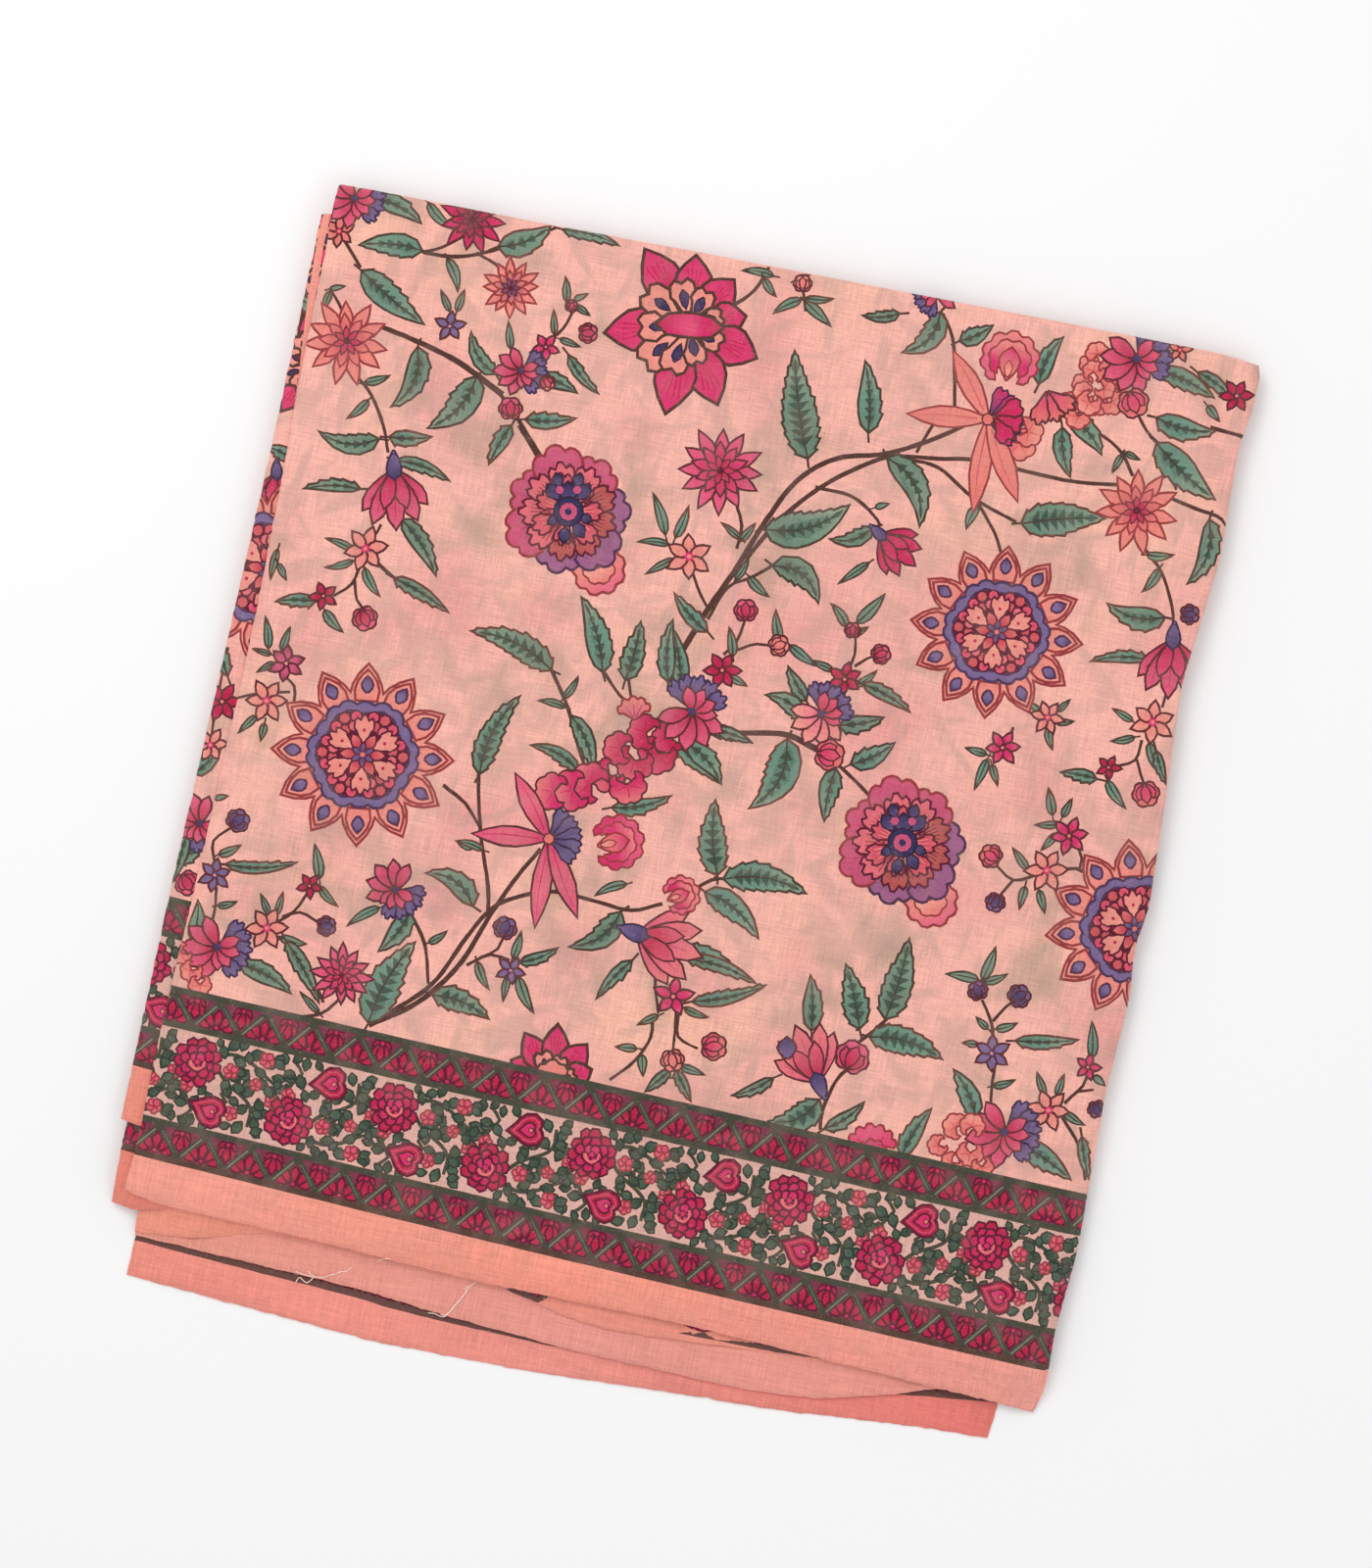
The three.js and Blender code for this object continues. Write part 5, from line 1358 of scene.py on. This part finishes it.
# ---------------------------------------------------------------------------
# Materials
# ---------------------------------------------------------------------------
def cotton(name, seed, slub=0.125, sheen=0.25, bump=0.3, fade=0.0, ghosts=0.0):
    """Thin woven cotton: the print, broken up by uneven yarns both ways."""
    mat = bpy.data.materials.new(name)
    mat.use_nodes = True
    tree = mat.node_tree
    nodes, links = tree.nodes, tree.links
    nodes.clear()
    out = nodes.new("ShaderNodeOutputMaterial")
    bsdf = nodes.new("ShaderNodeBsdfPrincipled")
    links.new(bsdf.outputs["BSDF"], out.inputs["Surface"])
    bsdf.inputs["Specular IOR Level"].default_value = 0.18
    bsdf.inputs["Sheen Weight"].default_value = sheen
    bsdf.inputs["Sheen Roughness"].default_value = 0.55
    bsdf.inputs["Sheen Tint"].default_value = (1.0, 0.86, 0.8, 1.0)
    attr = nodes.new("ShaderNodeAttribute")
    attr.attribute_name = "print"
    attr.attribute_type = "GEOMETRY"
    coord = nodes.new("ShaderNodeTexCoord")

    def noise(sx, sy, sz, scale=1.0, detail=2.0, rough=0.55, shift=0.0):
        m = nodes.new("ShaderNodeMapping")
        m.inputs["Scale"].default_value = (sx, sy, sz)
        m.inputs["Location"].default_value = (seed * 3.7 + shift, seed * 1.9 - shift, 0.0)
        links.new(coord.outputs["Object"], m.inputs["Vector"])
        n = nodes.new("ShaderNodeTexNoise")
        n.inputs["Scale"].default_value = scale
        n.inputs["Detail"].default_value = detail
        n.inputs["Roughness"].default_value = rough
        links.new(m.outputs["Vector"], n.inputs["Vector"])
        return n.outputs["Fac"]

    def math_node(op, a, b, clamp=False):
        n = nodes.new("ShaderNodeMath")
        n.operation = op
        n.use_clamp = clamp
        for k, v in enumerate((a, b)):
            if isinstance(v, (int, float)):
                n.inputs[k].default_value = v
            else:
                links.new(v, n.inputs[k])
        return n.outputs[0]

    warp = noise(1150.0, 62.0, 300.0, detail=2.0)  # yarns along y
    weft = noise(62.0, 1150.0, 300.0, detail=2.0, shift=5.0)  # yarns along x
    grain = noise(950.0, 950.0, 950.0, detail=1.0, shift=9.0)
    cloud = noise(16.0, 16.0, 16.0, detail=3.0, shift=2.0)
    yarns = math_node("ADD", warp, weft)
    yarns = math_node("SUBTRACT", yarns, 1.0)
    fine = math_node("SUBTRACT", grain, 0.5)
    tone = math_node("MULTIPLY_ADD", yarns, slub * 4.2)
    tone.node.inputs[2].default_value = 1.0
    tone2 = math_node("MULTIPLY_ADD", fine, slub * 2.2)
    links.new(tone, tone2.node.inputs[2])
    big = math_node("SUBTRACT", cloud, 0.5)
    tone3 = math_node("MULTIPLY_ADD", big, 0.10)
    links.new(tone2, tone3.node.inputs[2])
    scale = nodes.new("ShaderNodeVectorMath")
    scale.operation = "SCALE"
    links.new(attr.outputs["Color"], scale.inputs[0])
    links.new(tone3, scale.inputs["Scale"])
    colour = scale.outputs["Vector"]
    if ghosts:
        # leaves of the layers below, seen dimly through the thin cloth
        total = None
        for turn, size, lift in ((0.35, 1.0, 0.0), (-0.75, 1.15, 31.0), (1.35, 0.85, 57.0)):
            m = nodes.new("ShaderNodeMapping")
            m.vector_type = "TEXTURE"
            m.inputs["Rotation"].default_value = (0.0, 0.0, turn)
            m.inputs["Scale"].default_value = (0.032 * size, 0.0125 * size, 0.05)
            m.inputs["Location"].default_value = (lift, lift * 0.7, 0.0)
            links.new(coord.outputs["Object"], m.inputs["Vector"])
            n = nodes.new("ShaderNodeTexNoise")
            n.inputs["Scale"].default_value = 1.0
            n.inputs["Detail"].default_value = 1.4
            n.inputs["Roughness"].default_value = 0.4
            n.inputs["Distortion"].default_value = 0.35
            links.new(m.outputs["Vector"], n.inputs["Vector"])
            r = nodes.new("ShaderNodeMapRange")
            r.interpolation_type = "SMOOTHSTEP"
            r.inputs["From Min"].default_value = 0.53
            r.inputs["From Max"].default_value = 0.7
            links.new(n.outputs["Fac"], r.inputs["Value"])
            total = r.outputs["Result"] if total is None else math_node("MAXIMUM", total, r.outputs["Result"])
        total = math_node("MULTIPLY", total, attr.outputs["Alpha"])
        total = math_node("MULTIPLY", total, ghosts)
        under = nodes.new("ShaderNodeMix")
        under.data_type = "RGBA"
        links.new(total, under.inputs["Factor"])
        links.new(colour, under.inputs["A"])
        under.inputs["B"].default_value = (*ink(188, 154, 142), 1.0)
        colour = under.outputs["Result"]
    # undyed flecks where a pale slub lies on top
    fleck = noise(520.0, 900.0, 500.0, detail=2.0, shift=14.0)
    ramp = nodes.new("ShaderNodeMapRange")
    ramp.inputs["From Min"].default_value = 0.6
    ramp.inputs["From Max"].default_value = 0.82
    ramp.inputs["To Min"].default_value = fade
    ramp.inputs["To Max"].default_value = 0.26 + fade
    links.new(fleck, ramp.inputs["Value"])
    blend = nodes.new("ShaderNodeMix")
    blend.data_type = "RGBA"
    links.new(ramp.outputs["Result"], blend.inputs["Factor"])
    links.new(colour, blend.inputs["A"])
    blend.inputs["B"].default_value = (*ink(226, 172, 156), 1.0)
    links.new(blend.outputs["Result"], bsdf.inputs["Base Color"])
    rough = nodes.new("ShaderNodeMapRange")
    rough.inputs["To Min"].default_value = 0.78
    rough.inputs["To Max"].default_value = 0.95
    links.new(warp, rough.inputs["Value"])
    links.new(rough.outputs["Result"], bsdf.inputs["Roughness"])
    height = math_node("MULTIPLY_ADD", grain, 0.6)
    links.new(yarns, height.node.inputs[2])
    b = nodes.new("ShaderNodeBump")
    b.inputs["Strength"].default_value = bump
    b.inputs["Distance"].default_value = 0.0004
    links.new(height, b.inputs["Height"])
    links.new(b.outputs["Normal"], bsdf.inputs["Normal"])
    return mat


COTTON = cotton("printed_cotton", 1, ghosts=0.42)
SELVEDGE = cotton("plain_selvedge_cotton", 2, slub=0.11, sheen=0.3)
INNER = cotton("inner_layers_cotton", 3)


# ---------------------------------------------------------------------------
# The stretches
# ---------------------------------------------------------------------------
def flat_place(name, drop=0.0):
    def place(x, y, depth):
        z = underside(name, x, y) + CLOTH * (1.0 - depth) + drop
        return np.column_stack((x, y, z))

    return place


def base_place(x, y, depth):
    edge = edge_distance(BASE_LOOP, x, y)
    z = (0.75 + 0.25 * np.clip((-y - 250) / 40, 0, 1) * np.sin(x / 37.0) * 0.6) * (1.0 - depth)
    return np.column_stack((x, y, np.maximum(z, 0.0)))


def top_edges():
    """Right edge as x of y and far edge as y of x, smooth."""
    sides, ends = OUTLINES["top"]
    right = eased([(r, y) for y, l, r in [(-269.5, 0, 254.0)] + [s for s in sides if s[0] > -262] + [(303.0, 0, 254.5)]], 2.0)
    far = eased([(x, f) for x, n, f in ends], 2.0)
    return right, far


RIGHT_EDGE, FAR_EDGE = top_edges()


def right_at(y):
    o = np.argsort(RIGHT_EDGE[:, 1])
    return np.interp(y, RIGHT_EDGE[o, 1], RIGHT_EDGE[o, 0])


def far_at(x):
    return np.interp(x, FAR_EDGE[:, 0], FAR_EDGE[:, 1])


def roll(f, radius):
    """Along a fold: f is the flat distance past the visible edge. Gives how
    far in from that edge the point lies, how far down, and the turn."""
    t = np.maximum((f + radius) / radius, 0.0)
    turning = np.minimum(t, math.pi)
    past = np.maximum(t - math.pi, 0.0) * radius
    inward = radius - radius * np.sin(turning) + past
    inward = np.where(t <= 0, -f, inward)
    down = radius * (1 - np.cos(turning))
    return inward, down, turning


def top_place(x, y, depth):
    thick = CLOTH * depth
    edge_x, edge_y = right_at(np.minimum(y, far_at(x))), far_at(np.minimum(x, 254.0))
    in_x, down_x, turn_x = roll(x - edge_x, ROLL)
    in_y, down_y, turn_y = roll(y - edge_y, ROLL)
    px, py = edge_x - in_x, edge_y - in_y
    # the wall's thickness goes towards the middle of the roll
    px = px - thick * np.sin(turn_x)
    py = py - thick * np.sin(turn_y)
    z = underside("top", np.minimum(px, edge_x - ROLL), np.minimum(py, edge_y - ROLL)) + CLOTH
    down = np.maximum(down_x, down_y) + 0.35 * np.minimum(down_x, down_y)
    turn = np.maximum(turn_x, turn_y)
    # where the pile is low, the fold lies flatter
    room = np.clip((z - 1.1) / (2 * ROLL + CLOTH), 0.05, 1.0)
    return np.column_stack((px, py, z - down * room - thick * np.cos(turn)))


def top_loop():
    """The flat outline: the visible one, with the cloth that rolls under at
    the right and far edges, drawn in at their ends."""
    rng = random.Random(21)
    near, right, far, left = loop_sides("top")
    reach = ROLL * (math.pi - 1) + TAIL
    near_run = eased(near[:-1] + [(254.0, -269.5)], 2.4, 6)
    near_run = near_run + np.array([[0.0, rng.gauss(0, 0.16)] for _ in near_run])
    x_end = near_run[-1, 0]
    pts = [tuple(p) for p in near_run]
    pts += [(x_end + reach * 0.75, -268.9), (right_at(-266.5) + reach, -266.0)]
    for y in np.arange(-263, 286, 2.4):
        pts.append((float(right_at(y)) + reach + rng.gauss(0, 0.1), float(y)))
    pts += [(float(right_at(290)) + reach * 0.55, 292.0), (float(right_at(298)) + ROLL * 0.57, 299.5), (253.0, float(far_at(253)) + ROLL * 0.5)]
    pts += [(246.0, float(far_at(246)) + reach * 0.6)]
    for x in np.arange(240, -240, -2.4):
        pts.append((float(x), float(far_at(x)) + reach + rng.gauss(0, 0.1)))
    pts += [(-244.5, float(far_at(-244)) + reach * 0.8), (-248.0, float(far_at(-248)) + ROLL * 0.4)]
    left_run = eased([(-249.5, 296.0)] + left + [(-248.5, -253.5)], 2.4)
    left_run = left_run + np.array([[rng.gauss(0, 0.14), 0.0] for _ in left_run])
    pts += [tuple(p) for p in left_run[:-1]]
    return np.array(pts)


def fold_points():
    """Rows of points along the two rolls, close enough to bend round them."""
    out = []
    rows = np.arange(-ROLL - 1.6, ROLL * (math.pi - 1) + TAIL - 0.7, 0.85)
    for k, f in enumerate(rows):
        for y in np.arange(-262 + (k % 2) * 1.6, 288, 3.2):
            out.append((float(right_at(y)) + f, y))
        for x in np.arange(-242 + (k % 2) * 1.6, 243, 3.2):
            out.append((x, float(far_at(x)) + f))
    return np.array(out)


def drop_near(points, other, gap):
    """The points that keep clear of the rows along the two rolls, by gap; other is not used."""
    keep = (points[:, 0] < right_at(points[:, 1]) - ROLL - gap) & (points[:, 1] < far_at(points[:, 0]) - ROLL - gap)
    return points[keep]


def selvedge_strip(pr, x0, x1, left, middle, right, w1=140.0):
    long_strip(pr, 93.4, w1, x0, x1, (ink(*left), ink(*middle), ink(*right)))


# top
field_print = Print(31, board)
field(field_print)
border_print = Print(32, band, rough=0.1)
border(border_print, -262, 272)
selvedge_strip(border_print, -262, 272, (247, 160, 143), (249, 153, 133), (241, 158, 146))
TOP_SHAPES = field_print.shapes + border_print.shapes
top_flat = top_loop()
folds = fold_points()
folds = folds[inside(top_flat, folds[:, 0], folds[:, 1])]
folds = folds[edge_distance(top_flat, folds[:, 0], folds[:, 1]) > 0.5]
top_grid = grid_points(top_flat, 6.3, 3, 1.8)
top_grid = drop_near(top_grid, folds, 2.2)
top_ground = printed_ground(GHOSTS_SEED)
# finer where the near right corner droops
droop = grid_points(top_flat, 2.6, 91, 1.4)
droop = droop[(droop[:, 0] > 236) & (droop[:, 1] < -240)]
top = sheet_mesh("top_cloth", top_flat, top_place, TOP_SHAPES, top_ground, COTTON, step=60.0, seed=4, extra=np.vstack((top_grid, folds, droop)), under_step=12.0, under_extra=droop)

# left over
left_print = Print(41, board)
for w0, w1, pts in ((3, 2.4, [(312, 300), (300, 360), (286, 420)]), (3, 2.4, [(232, 660), (220, 720), (214, 760)])):
    left_print.stroke(pts, w0, w1, BARK)
for row in ((330, 330, 300, 300, 24, 0.1, 1), (318, 420, 288, 400, 22, 0.1, 1), (300, 470, 270, 455, 18, 0.1, 1), (232, 690, 214, 640, 18, 0, 1), (196, 790, 226, 760, 20, 0.1, 1), (180, 880, 210, 860, 20, 0, 1), (190, 850, 176, 900, 18, 0, 1)):
    leaf(left_print, *row)
lotus(left_print, 338, 262, 60, 0)
lotus(left_print, 322, 372, 52, 30)
bell(left_print, 282, 500, 44, 90, "magenta")
mandala(left_print, 276, 582, 97, 12)
star(left_print, 226, 716, 20, 0, "crimson", 6)
star(left_print, 214, 760, 18, 0, "peach", 6)
iris(left_print, 204, 840, 50, 60)
bud(left_print, 190, 900, 14, 60, "crimson")


def left_band(p):
    """The border as it lies on the stretch that slips out at the left."""
    q = band(p, 0.0)
    q[:, 1] += 46.0
    return q


left_border = Print(42, left_band, rough=0.1)
border(left_border, -290, -200, phase=-262)
long_strip(left_border, 93.4, 150.0, -290, -200, (ink(238, 142, 124), ink(238, 142, 124), ink(224, 130, 114)))
# a narrow plain fold edge beside the top's upper left side
left_print.add([(342, 200), (330, 250), (318, 330), (300, 440), (296, 440), (305, 380), (313, 310), (324, 240), (333, 206)], ink(238, 152, 136))
left_loop, _ = smooth_loop("left_over", 43)
left_over = sheet_mesh("left_over_cloth", left_loop, flat_place("left_over"), left_print.shapes + left_border.shapes, printed_ground(13), COTTON, step=7.0, seed=44, under_step=14.0)

# left under
under_border = Print(52, lambda p: band(p) + np.array([0.0, 0.5]), rough=0.1)
border(under_border, -290, -200, phase=-240)
long_strip(under_border, 93.4, 150.0, -290, 272, (ink(236, 134, 116), ink(226, 126, 110), ink(222, 124, 112)))
under_loop, _ = smooth_loop("left_under", 53)
left_under = sheet_mesh("left_under_cloth", under_loop, flat_place("left_under"), under_border.shapes, printed_ground(14), COTTON, step=8.0, seed=54, under_step=16.0)


# second, third and base: plain selvedge at the near edge, its border line above it
def near_edge_of(name):
    ends = OUTLINES[name][1]
    return np.array([(x, n) for x, n, f in ends])


def edge_band(name, strip):
    """Across coordinate 0 at the near edge, growing away from it."""
    rows = near_edge_of(name)

    def at(p):
        y = np.interp(p[:, 0], rows[:, 0], rows[:, 1])
        return np.column_stack((p[:, 0], y + p[:, 1]))

    return at


def line_print(name, rows, seed, thick=4.2):
    pr = Print(seed, edge_band(name, 0), rough=0.16)
    xs = np.linspace(-262, 262, 150)
    line = np.interp(xs, [r[0] for r in rows], [r[1] for r in rows])
    pr.add([(x, a) for x, a in zip(xs, line)] + [(x, a + thick) for x, a in list(zip(xs, line))[::-1]], ink(104, 74, 68))
    pr.add([(x, a + thick) for x, a in zip(xs, line)] + [(x, a + 60) for x, a in list(zip(xs, line))[::-1]], ink(112, 50, 72))
    for k in range(62):
        x = -252 + k * 8.2
        y = float(np.interp(x, xs, line)) + thick + 0.9
        for dx, dy in ((0, 0.9), (-1.7, 0), (1.7, 0)):
            dot(pr, x + dx, y + dy, 1.3, CRIMSON, 0.6, CLARET, 6)
    return pr


third_print = line_print("third", ((-262, 40), (262, 40)), 61)
third_loop, _ = smooth_loop("third", 62)
third = sheet_mesh("third_cloth", third_loop, flat_place("third"), third_print.shapes, plain_ground((238, 156, 138), (236, 154, 142), (240, 156, 140), 63), SELVEDGE, step=6.0, seed=64, under_step=16.0)

second_print = line_print("second", ((-262, 30), (-60, 30), (-52, 1.0), (-44, 0.4), (-18, 0.4), (-10, 12), (0, 25), (36, 25), (44, 6), (52, 4.0), (63, 3.2), (80, 2.2), (95, 1.2), (110, 0.4), (125, 0.1), (152, 0.1), (164, 14), (262, 30)), 66, thick=3.4)
second_loop, _ = smooth_loop("second", 67)
second = sheet_mesh("second_cloth", second_loop, flat_place("second"), second_print.shapes, plain_ground((242, 152, 130), (240, 150, 132), (246, 156, 136), 68), SELVEDGE, step=6.0, seed=69, under_step=16.0)

base_print = line_print("base", ((-262, 18.9), (-190, 19.3), (-112, 20.2), (-67, 17.3), (-40, 16.6), (5, 14.8), (97, 13.4), (160, 14.5), (195, 16.6), (232, 19.4)), 71)
BASE_LOOP, _ = smooth_loop("base", 72)


def base_under_shapes():
    """The outermost panel's print, face down."""
    pr = Print(73, lambda p: np.column_stack((-board(p)[:, 0] * 0.93, board(p)[:, 1] * 0.96 - 2)))
    field(pr)
    return pr.shapes


base = sheet_mesh("base_cloth", BASE_LOOP, base_place, base_print.shapes, plain_ground((246, 148, 132), (238, 148, 136), (232, 119, 111), 74), SELVEDGE, step=6.0, seed=75, under_ground=printed_ground(15), under_shapes=base_under_shapes(), under_step=9.0)


# ---------------------------------------------------------------------------
# The hidden layers: one rounded body with the edges of its layers round it
# ---------------------------------------------------------------------------
def hidden_mesh():
    rng = random.Random(81)
    h = HIDDEN
    c = h["corner"]
    ring = []

    def run(x0, y0, x1, y1, nx, ny, step=3.0):
        n = max(2, int(math.hypot(x1 - x0, y1 - y0) / step))
        for k in range(n):
            t = k / n
            ring.append((x0 + (x1 - x0) * t, y0 + (y1 - y0) * t, nx, ny))

    def turn(cx, cy, a0):
        for k in range(9):
            a = math.radians(a0 + 90 * k / 9)
            ring.append((cx, cy, math.cos(a), math.sin(a)))

    L, R, N, FL, FR = h["left"], h["right"], h["near"], h["far_left"], h["far_right"]
    run(L + c, N + c, R - c, N + c, 0, -1)
    turn(R - c, N + c, -90)
    run(R - c, N + c, R - c, FR - c, 1, 0)
    turn(R - c, FR - c, 0)
    run(R - c, FR - c, L + c, FL - c, 0, 1)
    turn(L + c, FL - c, 90)
    run(L + c, FL - c, L + c, N + c, -1, 0)
    turn(L + c, N + c, 180)
    ring = np.array(ring)
    m = len(ring)
    s = np.arange(m)
    low = BASE_WALL + GAP
    layers = 10
    each = HIDDEN_HEIGHT / layers
    near_side = np.clip(-ring[:, 3], 0, 1)
    rings, colours = [], []
    salmon = np.array(ink(238, 146, 130))
    peach = GROUND_MEAN
    palette = [np.array(x) for x in (ink(206, 92, 112), ink(110, 130, 108), ink(92, 60, 54), ink(200, 60, 96), ink(132, 116, 150))]

    def smooth_noise(scale, amount):
        k = max(4, int(m / scale))
        v = np.array([rng.uniform(-1, 1) for _ in range(k)])
        return np.interp(s / m * k, np.arange(k + 1), np.append(v, v[0])) * amount

    for n in range(layers):
        inset = smooth_noise(24, 1.5) + 1.6 + rng.uniform(-0.6, 0.9)
        lift = smooth_noise(30, 0.10)
        # what is printed along this layer's edge
        base_colour = salmon * near_side[:, None] + peach * (1 - near_side[:, None])
        pick = np.array([rng.random() for _ in range(m // 3 + 2)])
        tone = np.array([palette[rng.randrange(len(palette))] for _ in range(m // 3 + 2)])
        strong = np.repeat(pick, 3)[:m] < 0.34
        tone = np.repeat(tone, 3, 0)[:m]
        col = np.where((strong & (near_side < 0.5))[:, None], tone, base_colour)
        # shade here is painted shade: each layer's edge is darkened to half at its top and bottom, in the creases
        # between the stacked layers, and a little on its lower side
        for up, out_by, shade in ((0.06, -1.1, 0.5), (0.16, -0.15, 0.85), (0.5, 0.0, 1.0), (0.84, -0.15, 0.95), (0.94, -1.1, 0.5)):
            out_by = out_by * (1 - 0.5 * near_side)
            r = c - inset + out_by
            z = low + (n + up) * each + lift * (1 if 0 < n < layers - 1 else 0)
            rings.append(np.column_stack((ring[:, 0] + ring[:, 2] * r, ring[:, 1] + ring[:, 3] * r, z)))
            colours.append(col * shade)
    verts = np.vstack(rings)
    i = np.arange(m)
    j = (i + 1) % m
    faces, cols = [], []
    for k in range(len(rings) - 1):
        a, b = k * m, (k + 1) * m
        faces.append(np.column_stack((a + i, a + j, b + j)))
        cols.append(np.stack((colours[k][i], colours[k][j], colours[k + 1][j]), 1).reshape(-1, 3))
        faces.append(np.column_stack((a + i, b + j, b + i)))
        cols.append(np.stack((colours[k][i], colours[k + 1][j], colours[k + 1][i]), 1).reshape(-1, 3))
    # lids
    centre = np.array([[0.0, 25.0, low + 0.06 * each], [0.0, 25.0, low + (layers - 0.06) * each]])
    bottom, lid = len(verts), len(verts) + 1
    verts = np.vstack((verts, centre))
    last = (len(rings) - 1) * m
    faces.append(np.column_stack((j, i, np.full(m, bottom))))
    faces.append(np.column_stack((last + i, last + j, np.full(m, lid))))
    cols.append(np.tile(peach, (6 * m, 1)))
    return make_mesh("hidden_layers_cloth", verts, np.vstack(faces), np.vstack(cols), True, INNER)


hidden = hidden_mesh()


# ---------------------------------------------------------------------------
# Loose yarn ends on the selvedges
# ---------------------------------------------------------------------------
def surface_height(x, y):
    """The highest cloth at a point."""
    x, y = np.array([x]), np.array([y])
    best = 0.9
    for name in ORDER:
        loop = LOOPS[name]
        if inside(loop, x, y)[0]:
            best = max(best, float(underside(name, x, y)[0]) + CLOTH)
    return best


def yarn(points, radius, seed):
    rng = random.Random(seed)
    path = curve(points, 5.0)
    path = path + np.array([[rng.gauss(0, 0.9), rng.gauss(0, 0.9)] for _ in path])
    path = board(curve(path, 2.0))
    z = np.array([surface_height(x, y) for x, y in path]) + radius + 0.12
    for _ in range(3):
        z = np.maximum(z, np.convolve(np.pad(z, 1, mode="edge"), [0.3, 0.4, 0.3], "valid"))
    return np.column_stack((path, z))


def tubes(name, paths, radius, colour, material, sides=5):
    verts, faces = [], []
    for path in paths:
        d = np.gradient(path, axis=0)
        d /= np.linalg.norm(d, axis=1, keepdims=True)
        side = np.cross(d, (0, 0, 1.0))
        side /= np.maximum(np.linalg.norm(side, axis=1, keepdims=True), 1e-9)
        up = np.cross(side, d)
        start = len(verts)
        n = len(path)
        for k in range(n):
            taper = 0.35 if k in (0, n - 1) else 1.0
            for q in range(sides):
                a = 2 * math.pi * q / sides
                verts.append(path[k] + (side[k] * math.cos(a) + up[k] * math.sin(a)) * radius * taper)
        for k in range(n - 1):
            for q in range(sides):
                a, b = start + k * sides + q, start + k * sides + (q + 1) % sides
                faces += [(a, b, b + sides), (a, b + sides, a + sides)]
        for q in range(1, sides - 1):
            faces.append((start, start + q + 1, start + q))
            e = start + (n - 1) * sides
            faces.append((e, e + q, e + q + 1))
    faces = np.array(faces)
    cols = np.tile(colour, (faces.size, 1))
    return make_mesh(name, np.array(verts), faces, cols, True, material)


YARNS = [
    yarn([(397, 1284), (380, 1290), (358, 1295), (340, 1302), (322, 1305), (300, 1299)], 0.34, 1),
    yarn([(310, 1298), (318, 1306), (312, 1312), (304, 1306), (300, 1312)], 0.34, 2),
    yarn([(486, 1308), (474, 1320), (464, 1334), (454, 1346), (435, 1342)], 0.34, 3),
    yarn([(478, 1312), (470, 1326), (458, 1340), (447, 1344)], 0.34, 4),
]
yarns = tubes("loose_yarn_ends", YARNS, 0.34, np.array(ink(252, 222, 208)), SELVEDGE)

# ---------------------------------------------------------------------------
# What each piece stands for
# ---------------------------------------------------------------------------
PIECES = (
    (base, "base_stretch", "plain_selvedge"),
    (hidden, "hidden_layers", "printed_cotton"),
    (third, "third_stretch", "plain_selvedge"),
    (second, "second_stretch", "plain_selvedge"),
    (left_under, "left_under_stretch", "printed_cotton"),
    (left_over, "left_over_stretch", "printed_cotton"),
    (top, "top_stretch", "printed_cotton"),
)
for piece, node, slot in PIECES:
    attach(piece, "root")
    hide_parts(node)
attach(yarns, "root")

# ---------------------------------------------------------------------------
# Floor and light
# ---------------------------------------------------------------------------
floor_mesh = bpy.data.meshes.new("floor")
floor_mesh.from_pydata([(-3, -3, -0.0002), (3, -3, -0.0002), (3, 3, -0.0002), (-3, 3, -0.0002)], [], [(0, 1, 2, 3)])
floor = bpy.data.objects.new("floor", floor_mesh)
bpy.context.scene.collection.objects.link(floor)
floor_mat = bpy.data.materials.new("floor")
floor_mat.use_nodes = True
floor_bsdf = floor_mat.node_tree.nodes["Principled BSDF"]
floor_bsdf.inputs["Base Color"].default_value = (0.97, 0.97, 0.97, 1)
floor_bsdf.inputs["Roughness"].default_value = 0.95
floor_bsdf.inputs["Specular IOR Level"].default_value = 0.1
floor_mesh.materials.append(floor_mat)

world = bpy.data.worlds.new("studio")
world.use_nodes = True
world.node_tree.nodes["Background"].inputs["Color"].default_value = (1.0, 1.0, 1.0, 1)
world.node_tree.nodes["Background"].inputs["Strength"].default_value = 0.74
bpy.context.scene.world = world


def area_light(name, location, target, size, watts):
    data = bpy.data.lights.new(name, "AREA")
    data.shape = "SQUARE"
    data.size = size
    data.energy = watts
    obj = bpy.data.objects.new(name, data)
    obj.location = location
    direction = Vector(target) - Vector(location)
    obj.rotation_euler = direction.to_track_quat("-Z", "Y").to_euler()
    bpy.context.scene.collection.objects.link(obj)
    return obj


area_light("soft_key", (-0.9, 1.1, 1.6), (0, 0, 0), 1.1, 13.0)
area_light("soft_fill", (1.4, -0.9, 1.8), (0, 0, 0), 1.6, 5.0)

bpy.context.scene.view_settings.view_transform = "Standard"
bpy.context.scene.view_settings.look = "None"
